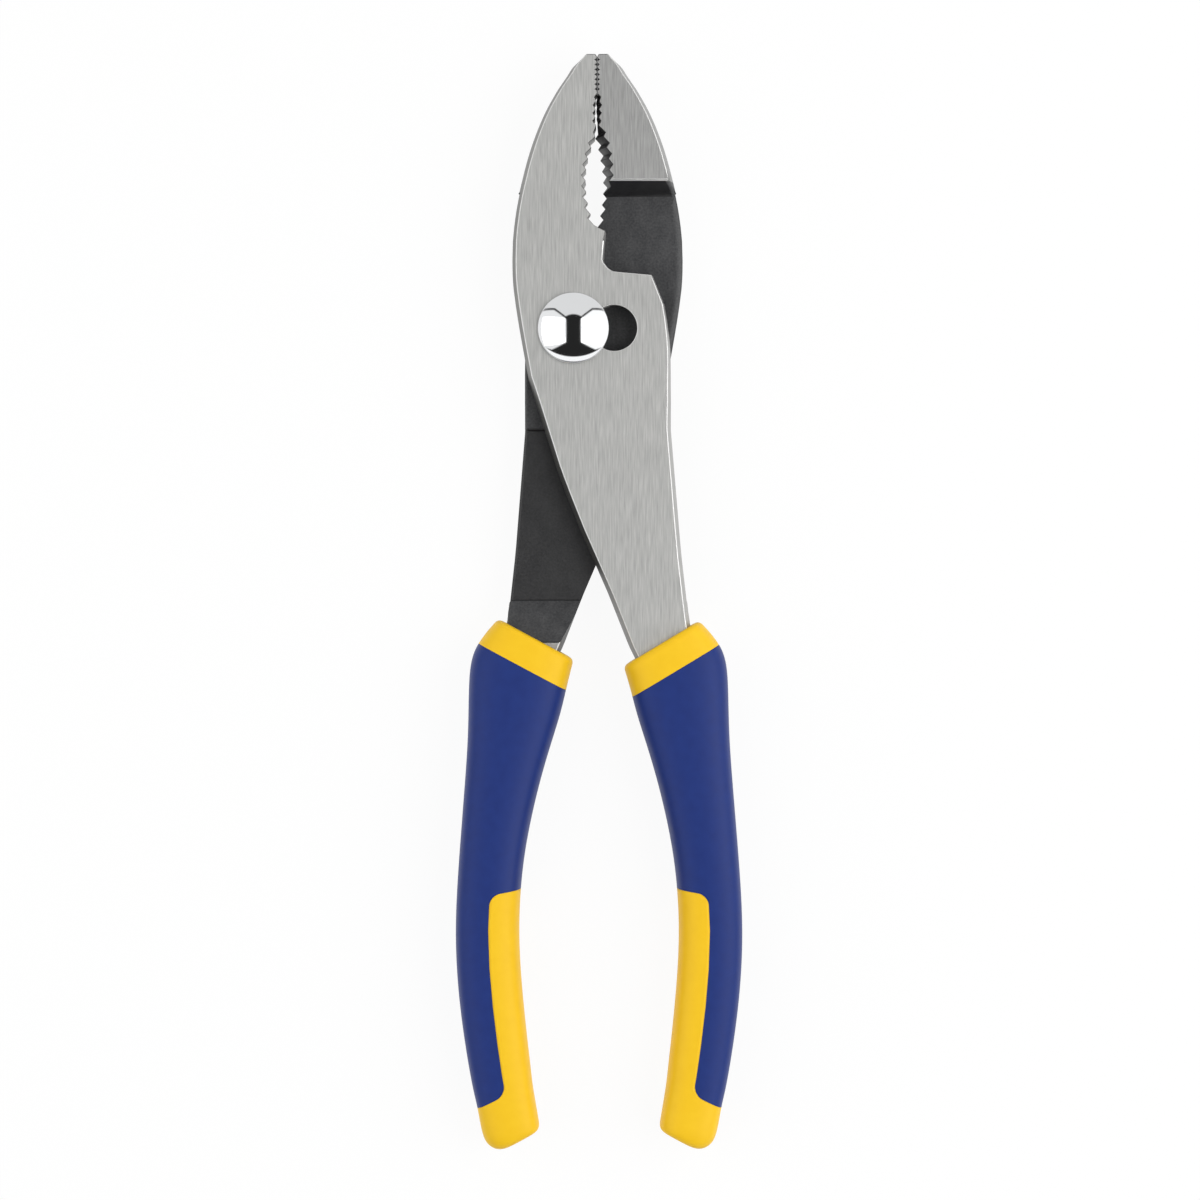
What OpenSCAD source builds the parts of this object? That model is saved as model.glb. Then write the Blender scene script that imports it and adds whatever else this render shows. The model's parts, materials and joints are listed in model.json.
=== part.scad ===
// Slip joint pliers, lying flat with the closed jaws pointing along +Y.
// X = 0 is the line where the jaws close, Y = 0 is half way along, Z = 0 is the bench.

/* [Overall] */
// From the jaw tips to the centre of the pivot
jaw_l = 63.9; // [58:0.1:72]
// From the centre of the pivot to the ends of the grips
handle_l = 190.1; // [175:0.1:210]
// Thickness of the steel where both halves are full, as at the jaw tips
steel_t = 12; // [11:0.5:14]
// Half the width of the closed head at its widest
head_half_w = 20; // [18.5:0.1:22]
// Half the width over the closed grips at their widest
half_spread = 33.45; // [32:0.05:38]

/* [Forging] */
// How far an outer edge leans in from the parting line to the flat face
draft_in = 1; // [0.6:0.1:1.4]
// How far the neck's inner edge of the pinned half is trimmed back
neck_trim = 1.1; // [0:0.1:1.4]
// Gap between the two halves where they lap
lap_gap = 0.06; // [0.04:0.01:0.1]
// From the tips to the step where the full jaw ends
step_drop = 29.7; // [28:0.1:31]
// Length of the sloping wall of that step
step_run = 3.4; // [2.5:0.1:4.5]
// Pivot to the crease where the machined lap face ends
crease_drop = 23.2; // [20:0.1:28]
// How much lower the steel lies beyond that crease
crease_d = 0.35; // [0.2:0.05:0.6]
// Pivot to the foot of the ramp that leads up to the full handle
ramp_drop = 63; // [60:0.1:65]
// Length of that ramp
ramp_run = 9.7; // [8:0.1:12]

/* [Jaw edges] */
// Width of each jaw's flat end
tip_w = 2.9; // [2:0.1:4]
// Gap left between the closed jaw faces
jaw_gap = 0.04; // [0.02:0.01:0.1]
// Number of fine grooves at the tips
fine_n = 7; // [5:1:9]
// Spacing of the fine grooves
fine_pitch = 1.17; // [1:0.01:1.4]
// Depth of the fine grooves
fine_d = 0.35; // [0.2:0.05:0.5]
// Number of middle notches behind the fine grooves
mid_n = 4; // [3:1:5]
// Depth of the middle notches
mid_d = 0.6; // [0.4:0.05:0.8]
// From the tips to the top of the pipe grip
pipe_drop = 17; // [16:0.1:18]
// Length of the pipe grip
pipe_l = 23.1; // [21:0.1:24]
// Depth of the pipe grip's hollow at the parting line, in each jaw
pipe_d = 1.4; // [1:0.1:2]
// Number of pipe teeth in each jaw
pipe_n = 9; // [7:1:11]
// Depth of the pipe teeth
pipe_tooth_d = 0.95; // [0.6:0.05:1.1]
// How far the pipe teeth lean back to the flat faces
pipe_draft = 1.3; // [0.8:0.1:1.6]
// How far the wire cutter's lip reaches across the closing line
cutter_w = 1.98; // [1.5:0.02:2.5]
// Radius of the corner between the cutter's lip and the shoulder
cutter_r = 3.3; // [2.5:0.1:4]
// From the pivot up to the shoulder
shoulder_up = 12.6; // [12:0.1:13.5]
// From the closing line out to the shoulder's corner
shoulder_w = 12.95; // [12:0.05:14]

/* [Pivot] */
// Centre of the pivot hole, measured left from the closing line
pivot_off = 5.63; // [5:0.01:6.5]
// How far the bolt moves along the slot
slip_travel = 9.46; // [9:0.01:10]
// Radius of the bolt's round shank
shank_r = 5.2; // [4.8:0.1:5.6]
// Width over the two flats of the shank
flat_w = 6.2; // [5.6:0.1:7]
// Clearance around the shank in the round hole
hole_fit = 0.05; // [0.02:0.01:0.1]
// Clearance around the shank in the slot
slot_fit = 0.1; // [0.05:0.01:0.1]
// Diameter of the domed head
dome_w = 16.4; // [15:0.1:18]
// Height of the domed head
dome_h = 3.5; // [2.5:0.1:4.5]
// Height of the straight rim below the dome
rim_h = 0.7; // [0.4:0.1:1]
// Clearance under the head and above the nut
face_fit = 0.05; // [0.02:0.01:0.1]
// Width of the nut over its flats
nut_w = 13; // [12:0.5:14]
// Height of the nut
nut_h = 3; // [2.6:0.1:3.6]
// Radius of the threaded end
thread_r = 3.4; // [3:0.1:4]
// Clearance of the thread in the nut
thread_fit = 0.05; // [0.02:0.01:0.1]
// How far the threaded end stays inside the nut
thread_back = 0.4; // [0.2:0.1:0.8]

/* [Grips] */
// From the pivot down to the top of the grips
grip_drop = 67.8; // [66:0.1:70]
// Width of a grip at the palm
grip_w = 14.8; // [13.5:0.1:16]
// Thickness of a grip at the palm
grip_t = 18; // [17:0.1:19]
// Width of the yellow collar
collar_w = 5.8; // [5:0.1:7]
// Thickness of the blue cover
cover_t = 1.7; // [1.4:0.1:2]
// Seam between the blue cover and the yellow sleeve
seam_fit = 0.05; // [0.03:0.01:0.1]
// Clearance of the steel inside the sleeve
tang_fit = 0.08; // [0.05:0.01:0.12]
// Width of the steel inside the grip at the palm
tang_w = 8.3; // [7.5:0.1:9]
// How far the steel stops short of the grip's end
tang_short = 14; // [12:0.5:20]
// How much thinner the steel is at its hidden end
tang_thin = 2.4; // [1:0.1:3]
// Grip top to the top of the yellow inner panel
panel_drop = 62.6; // [58:0.1:68]
// How far the yellow end reaches up the outer side
end_up = 8.6; // [7:0.1:11]
// Radius of the blue cover's corners beside the panel
panel_r = 2; // [1:0.1:3]
// Bevel around both ends of a grip
grip_bevel = 0.9; // [0.5:0.1:1.5]

/* [Hidden] */

// Heights
back_z = nut_h;
half_t = steel_t / 2;
mid_z = back_z + half_t;
face_z = back_z + steel_t;
lap_z = mid_z + lap_gap / 2;

// Places along the tool
tip_y = (jaw_l + handle_l) / 2;
pivot_y = tip_y - jaw_l;
end_y = -tip_y;
step_y = tip_y - step_drop;
crease_y = pivot_y - crease_drop;
ramp_y = pivot_y - ramp_drop;
grip_y = pivot_y - grip_drop;
grip_l = grip_y - end_y;
shoulder_y = pivot_y + shoulder_up;
pipe_y = tip_y - pipe_drop;
fine_end_y = tip_y - (fine_n + 1) * fine_pitch;
cutter_y = pipe_y - pipe_l;
tang_end_y = end_y + tang_short;
over = nut_h;

// Outer side of a jaw and head: share of jaw_l above the pivot, share of head_half_w
head_shares = [[0.961, 0.278], [0.927, 0.348], [0.869, 0.47], [0.782, 0.618], [0.666, 0.764],
    [0.55, 0.869], [0.434, 0.948], [0.318, 0.992], [0.222, 0.997], [0.145, 0.984], [0.029, 0.932],
    [-0.087, 0.868]];
// Inner side of the neck: share of grip_drop below the pivot, share of head_half_w
neck_in_shares = [[0.164, -0.818], [0.247, -0.725], [0.356, -0.61], [0.465, -0.495], [0.574, -0.36],
    [0.683, -0.215]];
// Inner side of the handle near the grip: share of grip_drop, share of half_spread
handle_in_shares = [[0.793, -0.031], [0.902, 0.064], [1.011, 0.152], [1.094, 0.219]];
// Outer side of the neck below the shoulder: share of shoulder_up above the pivot, share of head_half_w
neck_out_shares = [[0.88, 0.67], [0.73, 0.705], [0.43, 0.78], [0.15, 0.81], [-0.15, 0.835],
    [-0.45, 0.85], [-1.35, 0.855]];
// Outer side of the handle: share of grip_drop below the pivot, share of half_spread
handle_out_shares = [[0.356, 0.512], [0.547, 0.544], [0.765, 0.58], [0.984, 0.63], [1.094, 0.663]];
// Middle of the hidden steel: share of grip_l below the grip top, share of half_spread, share of tang_w
tang_shares = [[0.11, 0.503, 1.5], [0.21, 0.568, 1.38], [0.34, 0.67, 1.13], [0.46, 0.739, 1.04],
    [0.575, 0.771, 1], [0.7, 0.762, 0.98], [0.83, 0.71, 0.94], [1, 0.61, 0.88]];
// Stations of a grip: outer x share of half_spread, outer y share of grip_l, width share of
// grip_w, inner y share of grip_l, thickness share of grip_t
grip_shares = [[0.724, 0.0005, 1.223, 0.08, 0.95], [0.832, 0.041, 1.37, 0.131, 0.99],
    [0.898, 0.093, 1.405, 0.187, 1], [0.908, 0.224, 1.145, 0.297, 1], [0.959, 0.404, 0.993, 0.444, 1],
    [1, 0.584, 1, 0.588, 0.98], [0.968, 0.735, 0.995, 0.723, 0.94], [0.893, 0.87, 0.965, 0.845, 0.9],
    [0.846, 0.939, 0.94, 0.906, 0.88], [0.819, 0.981, 0.925, 0.951, 0.86]];
// Where the blue cover meets the yellow panel, as a share of the grip's width from outside
panel_share = 0.53;
// How square the grip's section is: 2 is an ellipse
squareness = 3;
ring_n = 20;
steps = 2;

// Smooth curve through points [y, x] listed from high y to low y
function slope(p, i) =
    let (a = p[max(i - 1, 0)], b = p[min(i + 1, len(p) - 1)])
    (b[1] - a[1]) / (b[0] - a[0]);
function piece(p, y) = max(0, min(len(p) - 2, len([for (q = p) if (q[0] >= y) q]) - 1));
function smooth_x(p, y) =
    let (i = piece(p, y), a = p[i], b = p[i + 1], h = b[0] - a[0], t = (y - a[0]) / h)
    a[1] * (1 + 2 * t) * pow(1 - t, 2) + b[1] * t * t * (3 - 2 * t)
    + slope(p, i) * h * t * pow(1 - t, 2) - slope(p, i + 1) * h * t * t * (1 - t);

// Curve through stations, each a list of numbers, at the place u counted in stations
function at(p, i) = p[max(0, min(len(p) - 1, i))];
function blend(p, u) =
    let (i = min(floor(u), len(p) - 2), t = u - i,
        a = at(p, i - 1), b = at(p, i), c = at(p, i + 1), d = at(p, i + 2))
    b + (c - a) * t / 2 + (a - 2.5 * b + 2 * c - d / 2) * pow(t, 2)
    + (1.5 * b - a / 2 - 1.5 * c + d / 2) * pow(t, 3);

// A list sorted from high to low, without near repeats
function sorted(v) = len(v) < 2 ? v : let (m = v[0]) concat(sorted([for (a = v) if (a > m) a]),
    [m], sorted([for (a = v) if (a < m) a]));
function thinned(v) = [for (i = [0:len(v) - 1]) if (i == 0 || v[i - 1] - v[i] > lap_gap) v[i]];

// Side of the head and inner neck, as a curve of [y, x] with the jaw on the left
left_side = concat([[tip_y, -tip_w - jaw_gap / 2]],
    [for (s = head_shares) [pivot_y + s[0] * jaw_l, -s[1] * head_half_w]],
    [for (s = neck_in_shares) [pivot_y - s[0] * grip_drop, s[1] * head_half_w]],
    [for (s = handle_in_shares) [pivot_y - s[0] * grip_drop, s[1] * half_spread]],
    [for (s = tang_shares) [grip_y - s[0] * grip_l, s[1] * half_spread - s[2] * tang_w / 2]]);

// Outer side of the neck, from the shoulder down
right_side = concat([[shoulder_y - jaw_gap, shoulder_w]],
    [for (s = neck_out_shares) [pivot_y + s[0] * shoulder_up, s[1] * head_half_w]],
    [for (s = handle_out_shares) [pivot_y - s[0] * grip_drop, s[1] * half_spread]],
    [for (s = tang_shares) [grip_y - s[0] * grip_l, s[1] * half_spread + s[2] * tang_w / 2]]);

// Closing edge of the left jaw from the tip down to the cutter, at the parting line
tooth_y0 = tip_y - fine_pitch * 0.9;
mid_l = fine_end_y - pipe_y;
function hollow(t) = pipe_d * (1 - pow(2 * t - 1, 2));
jaw_edge = concat([[tip_y, -jaw_gap / 2 - fine_d], [tip_y - fine_d * 2, -jaw_gap / 2]],
    [for (i = [0:fine_n - 1], s = [0, 0.25, 0.5]) [tooth_y0 - (i + s) * fine_pitch,
        -jaw_gap / 2 - (s == 0.25 ? fine_d : 0)]],
    [for (i = [0:mid_n - 1], s = [0, 0.45]) [fine_end_y - (i + s) * mid_l / mid_n,
        -jaw_gap / 2 - (s > 0 ? mid_d : 0)]],
    [for (i = [0:pipe_n - 1], s = [0, 0.62 - 0.27 * i / (pipe_n - 1)]) let (t = (i + s) / pipe_n)
        [pipe_y - t * pipe_l, -jaw_gap / 2 - hollow(t) - (s > 0 ? pipe_tooth_d : 0)]],
    [[cutter_y, -jaw_gap / 2]]);
lip_y = cutter_y - cutter_w / 1.5;
fillet_x = cutter_w - jaw_gap - draft_in / 2 + cutter_r;
cutter_edge = concat([[lip_y, cutter_w]],
    [for (a = [180:15:270]) [shoulder_y + cutter_r + cutter_r * sin(a), fillet_x + cutter_r * cos(a)]]);

right_table = concat(jaw_edge, cutter_edge, right_side);
right_smooth_y = right_side[0][0];
function left_x(y) = smooth_x(left_side, y);
function right_x(y) = y < right_smooth_y ? smooth_x(right_side, y) : lookup(y, right_table);

// Lean of each side from the parting line to the faces, as tables of [y, distance]
left_lean = [[tip_y, draft_in * 0.4], [tip_y - tip_w, draft_in], [end_y, draft_in]];
right_lean = [[fine_end_y, 0], [fine_end_y - mid_l / 4, pipe_draft / 3], [pipe_y, pipe_draft / 6],
    [pipe_y - pipe_l / 8, pipe_draft * 0.7], [pipe_y - pipe_l / 3, pipe_draft],
    [cutter_y + pipe_l / 4, pipe_draft], [cutter_y, pipe_draft * 0.6], [lip_y, draft_in / 4],
    [pivot_y, draft_in * 0.6], [crease_y, draft_in]];

// Height of the hidden face: full jaw, step, lap, crease, ramp, full handle, hidden end
back_table = [[step_y, back_z], [step_y - step_run * 0.8, mid_z - half_t * 0.12],
    [step_y - step_run, lap_z], [crease_y, lap_z], [crease_y - crease_d, lap_z + crease_d],
    [ramp_y, lap_z + crease_d], [ramp_y - ramp_run * 0.32, lap_z], [ramp_y - ramp_run, back_z],
    [grip_y - ramp_run, back_z], [tang_end_y, back_z + tang_thin / 2]];
front_table = [[grip_y - ramp_run, face_z], [tang_end_y, face_z - tang_thin / 2]];

side_rows = [for (p = concat(left_side, right_side)) if (p[0] > tang_end_y) p[0]];
neck_rows = [for (i = [0:1:11]) shoulder_y + (tang_end_y - shoulder_y) * i / 12];
rows_y = thinned(sorted(concat([for (p = right_table) if (p[0] > tang_end_y) p[0]], side_rows, neck_rows,
    [for (p = back_table) p[0]], [tang_end_y])));

// One forged half, jaw on the left and handle on the right. grow is added all round, trim narrows
// the neck's inner side, and only the rows below top_y are built.
module forging(grow, trim, top_y) {
    ys = [for (y = rows_y) if (y <= top_y) y];
    z_up = face_z - mid_z;
    trim_table = [[crease_y - crease_drop, 0], [ramp_y + ramp_run, trim]];
    rows = [for (y = ys) [y, left_x(y) + lookup(y, trim_table) - grow, right_x(y) + grow,
        lookup(y, left_lean), lookup(y, right_lean),
        lookup(y, front_table) + grow, lookup(y, back_table) - grow]];
    points = [for (r = rows) let (up = (r[5] - mid_z) / z_up, thin = r[6] >= mid_z,
            down = thin ? 0 : (mid_z - r[6]) / z_up, zm = max(mid_z, r[6]))
        each [[r[1] + r[3] * up, r[0], r[5]], [r[2] - r[4] * up, r[0], r[5]],
            [r[1], r[0], zm], [r[2], r[0], zm],
            [r[1] + r[3] * down, r[0], thin ? zm : r[6]], [r[2] - r[4] * down, r[0], thin ? zm : r[6]]]];
    n = len(rows);
    function id(k, c) = 6 * k + (c > 3 && rows[k][6] >= mid_z ? c - 2 : c);
    quads = concat([for (k = [0:n - 2]) each [
            [id(k, 0), id(k, 1), id(k + 1, 1), id(k + 1, 0)],
            [id(k, 4), id(k + 1, 4), id(k + 1, 5), id(k, 5)],
            [id(k, 0), id(k + 1, 0), id(k + 1, 2), id(k, 2)],
            [id(k, 2), id(k + 1, 2), id(k + 1, 4), id(k, 4)],
            [id(k + 1, 1), id(k, 1), id(k, 3), id(k + 1, 3)],
            [id(k + 1, 3), id(k, 3), id(k, 5), id(k + 1, 5)]]],
        [[id(0, 1), id(0, 0), id(0, 2), id(0, 3)], [id(0, 3), id(0, 2), id(0, 4), id(0, 5)],
            [id(n - 1, 0), id(n - 1, 1), id(n - 1, 3), id(n - 1, 2)],
            [id(n - 1, 2), id(n - 1, 3), id(n - 1, 5), id(n - 1, 4)]]);
    faces = [for (q = quads, t = [[q[0], q[1], q[2]], [q[0], q[2], q[3]]])
        if (t[0] != t[1] && t[1] != t[2] && t[2] != t[0]) t];
    polyhedron(points = points, faces = faces);
}

// The same shape turned over, for the half whose jaw is on the right
module turned_over() {
    translate([0, 0, 2 * mid_z])
        rotate([0, 180, 0])
            children();
}

module slotted_half() {
    color([0.71, 0.71, 0.69])
        difference() {
            forging(0, 0, tip_y);
            for (x = [0, slip_travel])
                translate([x - pivot_off, pivot_y, mid_z - over])
                    cylinder(r = shank_r + slot_fit, h = half_t + 2 * over, $fn = 96);
            translate([-pivot_off, pivot_y - flat_w / 2 - slot_fit, mid_z - over])
                cube([slip_travel, flat_w + 2 * slot_fit, half_t + 2 * over]);
        }
}

module pinned_half() {
    color([0.2, 0.2, 0.21])
        difference() {
            turned_over()
                forging(0, neck_trim, tip_y);
            translate([-pivot_off, pivot_y, back_z - over])
                cylinder(r = shank_r + hole_fit, h = half_t + 2 * over, $fn = 96);
        }
}

// Domed head, flatted shank in the slot, round shank in the hole, threaded end
module pivot_bolt() {
    dome_r = (pow(dome_w / 2, 2) + pow(dome_h - rim_h, 2)) / (2 * (dome_h - rim_h));
    head_z = face_z + face_fit;
    color([0.8, 0.8, 0.82])
        translate([-pivot_off, pivot_y, 0]) {
            translate([0, 0, head_z])
                intersection() {
                    cylinder(d = dome_w, h = dome_h, $fn = 96);
                    translate([0, 0, dome_h - dome_r])
                        sphere(r = dome_r, $fn = 96);
                }
            intersection() {
                translate([0, 0, mid_z - lap_gap])
                    cylinder(r = shank_r, h = head_z - mid_z + 2 * lap_gap, $fn = 96);
                translate([-dome_w / 2, -flat_w / 2, 0])
                    cube([dome_w, flat_w, face_z + dome_h / 2]);
            }
            translate([0, 0, back_z + face_fit])
                cylinder(r = shank_r, h = mid_z - back_z - face_fit - lap_gap / 2, $fn = 96);
            translate([0, 0, thread_back])
                cylinder(r = thread_r, h = mid_z - thread_back, $fn = 96);
        }
}

module pivot_nut() {
    corner_r = nut_w / sqrt(3);
    color([0.75, 0.75, 0.77])
        translate([-pivot_off, pivot_y, 0])
            difference() {
                intersection() {
                    cylinder(r = corner_r, h = nut_h - face_fit, $fn = 6);
                    cylinder(r1 = nut_w / 2, r2 = nut_w / 2 + nut_h, h = nut_h, $fn = 96);
                }
                translate([0, 0, -over])
                    cylinder(r = thread_r + thread_fit, h = nut_h + 2 * over, $fn = 96);
            }
}

// Rings of a grip, shrunk by inset all round, as lists of points
function unit_ring(j) = let (a = 360 * j / ring_n, c = cos(a), s = sin(a))
    [sign(c) * pow(abs(c), 2 / squareness), sign(s) * pow(abs(s), 2 / squareness)];
function rung(u, inset) =
    let (s = blend(grip_shares, u), out = [s[0] * half_spread, grip_y - s[1] * grip_l],
        inner = [s[0] * half_spread - s[2] * grip_w, grip_y - s[3] * grip_l],
        across = out - inner, w = norm(across))
    [(out + inner) / 2, across / w, w / 2 - inset, min(1, s[4]) * grip_t / 2 - inset];
function ring(r, shift) =
    [for (j = [0:ring_n - 1])
        let (p = unit_ring(j), m = r[0] + r[1] * r[2] * p[0] + shift)
        [m[0], m[1], mid_z + r[3] * p[1]]];

module grip_form(inset) {
    last = len(grip_shares) - 1;
    first_rung = rung(0, inset + grip_bevel);
    last_rung = rung(last, inset + 2 * grip_bevel);
    up = [-first_rung[1][1], first_rung[1][0]] * grip_bevel;
    down = [last_rung[1][1], -last_rung[1][0]];
    low_y = min([for (p = ring(last_rung, [0, 0])) p[1]]);
    rings = concat([ring(first_rung, up)],
        [for (i = [0:last * steps]) ring(rung(i / steps, inset), [0, 0])],
        [ring(last_rung, down * (end_y + inset - low_y) / down[1])]);
    n = len(rings);
    faces = concat(
        [for (k = [0:n - 2], j = [0:ring_n - 1]) let (a = k * ring_n + j, b = k * ring_n + (j + 1) % ring_n)
            each [[a, b + ring_n, b], [a, a + ring_n, b + ring_n]]],
        [[for (j = [0:ring_n - 1]) j], [for (j = [ring_n - 1:-1:0]) (n - 1) * ring_n + j]]);
    polyhedron(points = [for (r = rings) each r], faces = faces);
}

// Plan of the blue cover, larger than the grip on its free sides
module cover_plan(grow) {
    top = rung(0, 0);
    slant = top[1];
    drop = [slant[1], -slant[0]] * collar_w;
    a = top[0] + drop + slant * half_spread;
    b = top[0] + drop - slant * half_spread;
    panel_y = grip_y - panel_drop;
    edge = [for (u = [4:0.5:8]) let (r = rung(u, 0)) r[0] + r[1] * r[2] * (1 - 2 * panel_share)];
    low = rung(8, 0);
    end_out = low[0] + low[1] * low[2] * 3 + [0, end_up / 4];
    end_in = edge[8] + [0, end_up / 4];
    offset(delta = grow)
        offset(r = panel_r, $fn = 32)
            offset(r = -2 * panel_r, $fn = 32)
                offset(r = panel_r, $fn = 32)
                    polygon(concat([a, b, [b[0], panel_y], [edge[1][0], panel_y]],
                        [for (p = edge) if (p[1] < panel_y && p[1] > end_in[1]) p], [end_in, end_out]));
}

module cover_zone(grow) {
    translate([0, 0, mid_z - grip_t])
        linear_extrude(height = 2 * grip_t)
            cover_plan(grow);
}

module right_sleeve_form() {
    difference() {
        grip_form(0);
        difference() {
            cover_zone(0);
            grip_form(cover_t);
        }
        forging(tang_fit, 0, grip_y + over);
    }
}

module right_cover_form() {
    difference() {
        intersection() {
            grip_form(0);
            cover_zone(-seam_fit);
        }
        grip_form(cover_t - seam_fit);
    }
}

module right_grip_sleeve() {
    color([0.98, 0.78, 0.14])
        right_sleeve_form();
}

module right_grip_cover() {
    color([0.15, 0.22, 0.5])
        right_cover_form();
}

module left_grip_sleeve() {
    color([0.98, 0.78, 0.14])
        turned_over()
            right_sleeve_form();
}

module left_grip_cover() {
    color([0.15, 0.22, 0.5])
        turned_over()
            right_cover_form();
}

slotted_half();
pinned_half();
pivot_bolt();
pivot_nut();
right_grip_sleeve();
right_grip_cover();
left_grip_sleeve();
left_grip_cover();
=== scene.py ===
# %% [markdown]
# # Slip joint pliers
# This notebook dresses a finished mechanical model of a pair of slip joint pliers. The model comes in
# first and stays where it is. Each visible piece is then modelled again with more detail in the same
# place, given its finish, and tied to the body that it moves with.

# %% Load the mechanical model
import json
import math

import bmesh
import bpy
from mathutils import Matrix, Vector

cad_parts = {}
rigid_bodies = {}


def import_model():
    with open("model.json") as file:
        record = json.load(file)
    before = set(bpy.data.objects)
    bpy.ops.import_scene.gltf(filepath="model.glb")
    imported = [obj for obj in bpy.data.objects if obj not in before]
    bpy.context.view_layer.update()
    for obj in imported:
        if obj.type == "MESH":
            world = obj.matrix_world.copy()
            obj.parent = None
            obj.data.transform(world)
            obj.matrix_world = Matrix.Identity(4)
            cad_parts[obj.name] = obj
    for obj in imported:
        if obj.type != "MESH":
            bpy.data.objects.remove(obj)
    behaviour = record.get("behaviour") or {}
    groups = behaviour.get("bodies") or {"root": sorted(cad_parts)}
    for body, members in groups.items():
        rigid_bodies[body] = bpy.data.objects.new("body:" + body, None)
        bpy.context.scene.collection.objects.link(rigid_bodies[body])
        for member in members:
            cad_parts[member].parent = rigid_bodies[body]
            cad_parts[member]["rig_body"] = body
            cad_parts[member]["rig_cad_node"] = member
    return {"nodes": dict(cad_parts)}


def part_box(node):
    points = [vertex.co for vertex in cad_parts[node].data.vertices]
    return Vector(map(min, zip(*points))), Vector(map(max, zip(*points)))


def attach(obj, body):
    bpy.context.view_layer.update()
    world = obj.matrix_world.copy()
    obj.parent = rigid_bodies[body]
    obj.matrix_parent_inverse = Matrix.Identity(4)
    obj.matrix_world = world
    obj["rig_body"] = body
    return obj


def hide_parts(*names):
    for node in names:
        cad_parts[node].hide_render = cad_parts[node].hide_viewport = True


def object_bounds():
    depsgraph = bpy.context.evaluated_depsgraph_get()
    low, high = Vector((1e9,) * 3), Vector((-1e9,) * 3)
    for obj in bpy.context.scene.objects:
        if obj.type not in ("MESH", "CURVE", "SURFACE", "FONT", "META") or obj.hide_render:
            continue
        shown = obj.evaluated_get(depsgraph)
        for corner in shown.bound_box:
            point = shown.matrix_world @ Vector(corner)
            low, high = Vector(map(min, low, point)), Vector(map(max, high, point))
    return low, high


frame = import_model()
cad_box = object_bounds()
bpy.ops.object.select_all(action="DESELECT")
MM = 0.001


def in_mm(box):
    """The corners of a box in millimetres, for printing."""
    return [[round(x / MM, 2) for x in corner] for corner in box]


print("model box in mm:", in_mm(cad_box))

# %% [markdown]
# ## Camera
# The tool is seen from straight above. A wide lens close by would show the sides of the thick grips. A
# long lens a good metre away keeps the grips and the thinner steel at almost the same scale, as a
# product picture does, so it is used here.

# %% Camera above the tool
# Width of what the picture shows at the height of the steel
PICTURE_W = 277.8 * MM
STEEL_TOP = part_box("slotted_half")[1].z
LENS = 150
SENSOR = 36
CAMERA_X = 0.39 * MM
CAMERA_Y = 0.12 * MM
CAMERA_TURN = -0.0022
camera_up = PICTURE_W * LENS / SENSOR
bpy.ops.object.camera_add(
    location=(CAMERA_X, CAMERA_Y, STEEL_TOP + camera_up), rotation=(0, 0, CAMERA_TURN)
)
camera = bpy.context.object
camera.data.lens = LENS
camera.data.sensor_width = SENSOR
bpy.context.scene.camera = camera
print("camera height in mm:", round(camera.location.z / MM, 1))

# %% [markdown]
# ## Working in edit mode by script
# By hand, a face is clicked and then extruded. A script has no mouse, so it picks faces, edges and
# vertices by a question about their place or direction. These helpers do that, and nothing else.

# %% Helpers for selecting
# An edge is sharp from this many degrees, and two places nearer than TOUCH are the same
SHARP = 30
TOUCH = 0.01 * MM


def only(piece):
    """Makes a piece the one that is selected and active, in object mode."""
    if bpy.context.object and bpy.context.object.mode != "OBJECT":
        bpy.ops.object.mode_set(mode="OBJECT")
    bpy.ops.object.select_all(action="DESELECT")
    piece.select_set(True)
    bpy.context.view_layer.objects.active = piece


def edit(piece):
    """Opens one piece in edit mode with all of it selected."""
    only(piece)
    bpy.ops.object.mode_set(mode="EDIT")
    bpy.ops.mesh.select_mode(type="VERT")
    bpy.ops.mesh.select_all(action="SELECT")


def pick(kind, wanted):
    """In edit mode, selects each VERT, EDGE or FACE for which wanted(it) is true."""
    mesh = bpy.context.object.data
    bpy.ops.mesh.select_mode(type=kind)
    bpy.ops.mesh.select_all(action="DESELECT")
    form = bmesh.from_edit_mesh(mesh)
    parts = {"VERT": form.verts, "EDGE": form.edges, "FACE": form.faces}[kind]
    found = [part for part in parts if wanted(part)]
    for part in found:
        part.select_set(True)
    form.select_flush_mode()
    bmesh.update_edit_mesh(mesh)
    return len(found)


def places():
    """In edit mode, a copy of the place of each vertex, which stays when the vertices move."""
    return [vert.co.copy() for vert in bmesh.from_edit_mesh(bpy.context.object.data).verts]


def at(place):
    """The question whether a vertex is at a place."""
    return lambda vert: (vert.co - place).length < TOUCH


def middle(edge):
    return (edge.verts[0].co + edge.verts[1].co) / 2


def sharp(edge, degrees=SHARP):
    return len(edge.link_faces) == 2 and edge.calc_face_angle(0) > math.radians(degrees)


print("model nodes:", sorted(frame["nodes"]))

# %% [markdown]
# ## Shaping steps that return
# Moving, rounding, applying a modifier and smoothing come back for every piece. Each could be written out
# with all its settings every time. A short function gives each step one name and one set of settings.

# %% Helpers for shaping
def move(x, y, z):
    """Moves what is selected."""
    bpy.ops.transform.translate(value=(x, y, z))


def bevel(offset, segments, material=-1):
    """Rounds the selected edges. material is the finish slot of the new faces."""
    bpy.ops.mesh.bevel(
        offset=offset, segments=segments, material=material, clamp_overlap=False, loop_slide=True
    )


def apply(piece, kind, **settings):
    """Adds a modifier with these settings and applies it."""
    only(piece)
    modifier = piece.modifiers.new(kind.title(), kind)
    for name, value in settings.items():
        setattr(modifier, name, value)
    bpy.ops.object.modifier_apply(modifier=modifier.name)


def discard(*pieces):
    for piece in pieces:
        bpy.data.objects.remove(piece)


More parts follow.
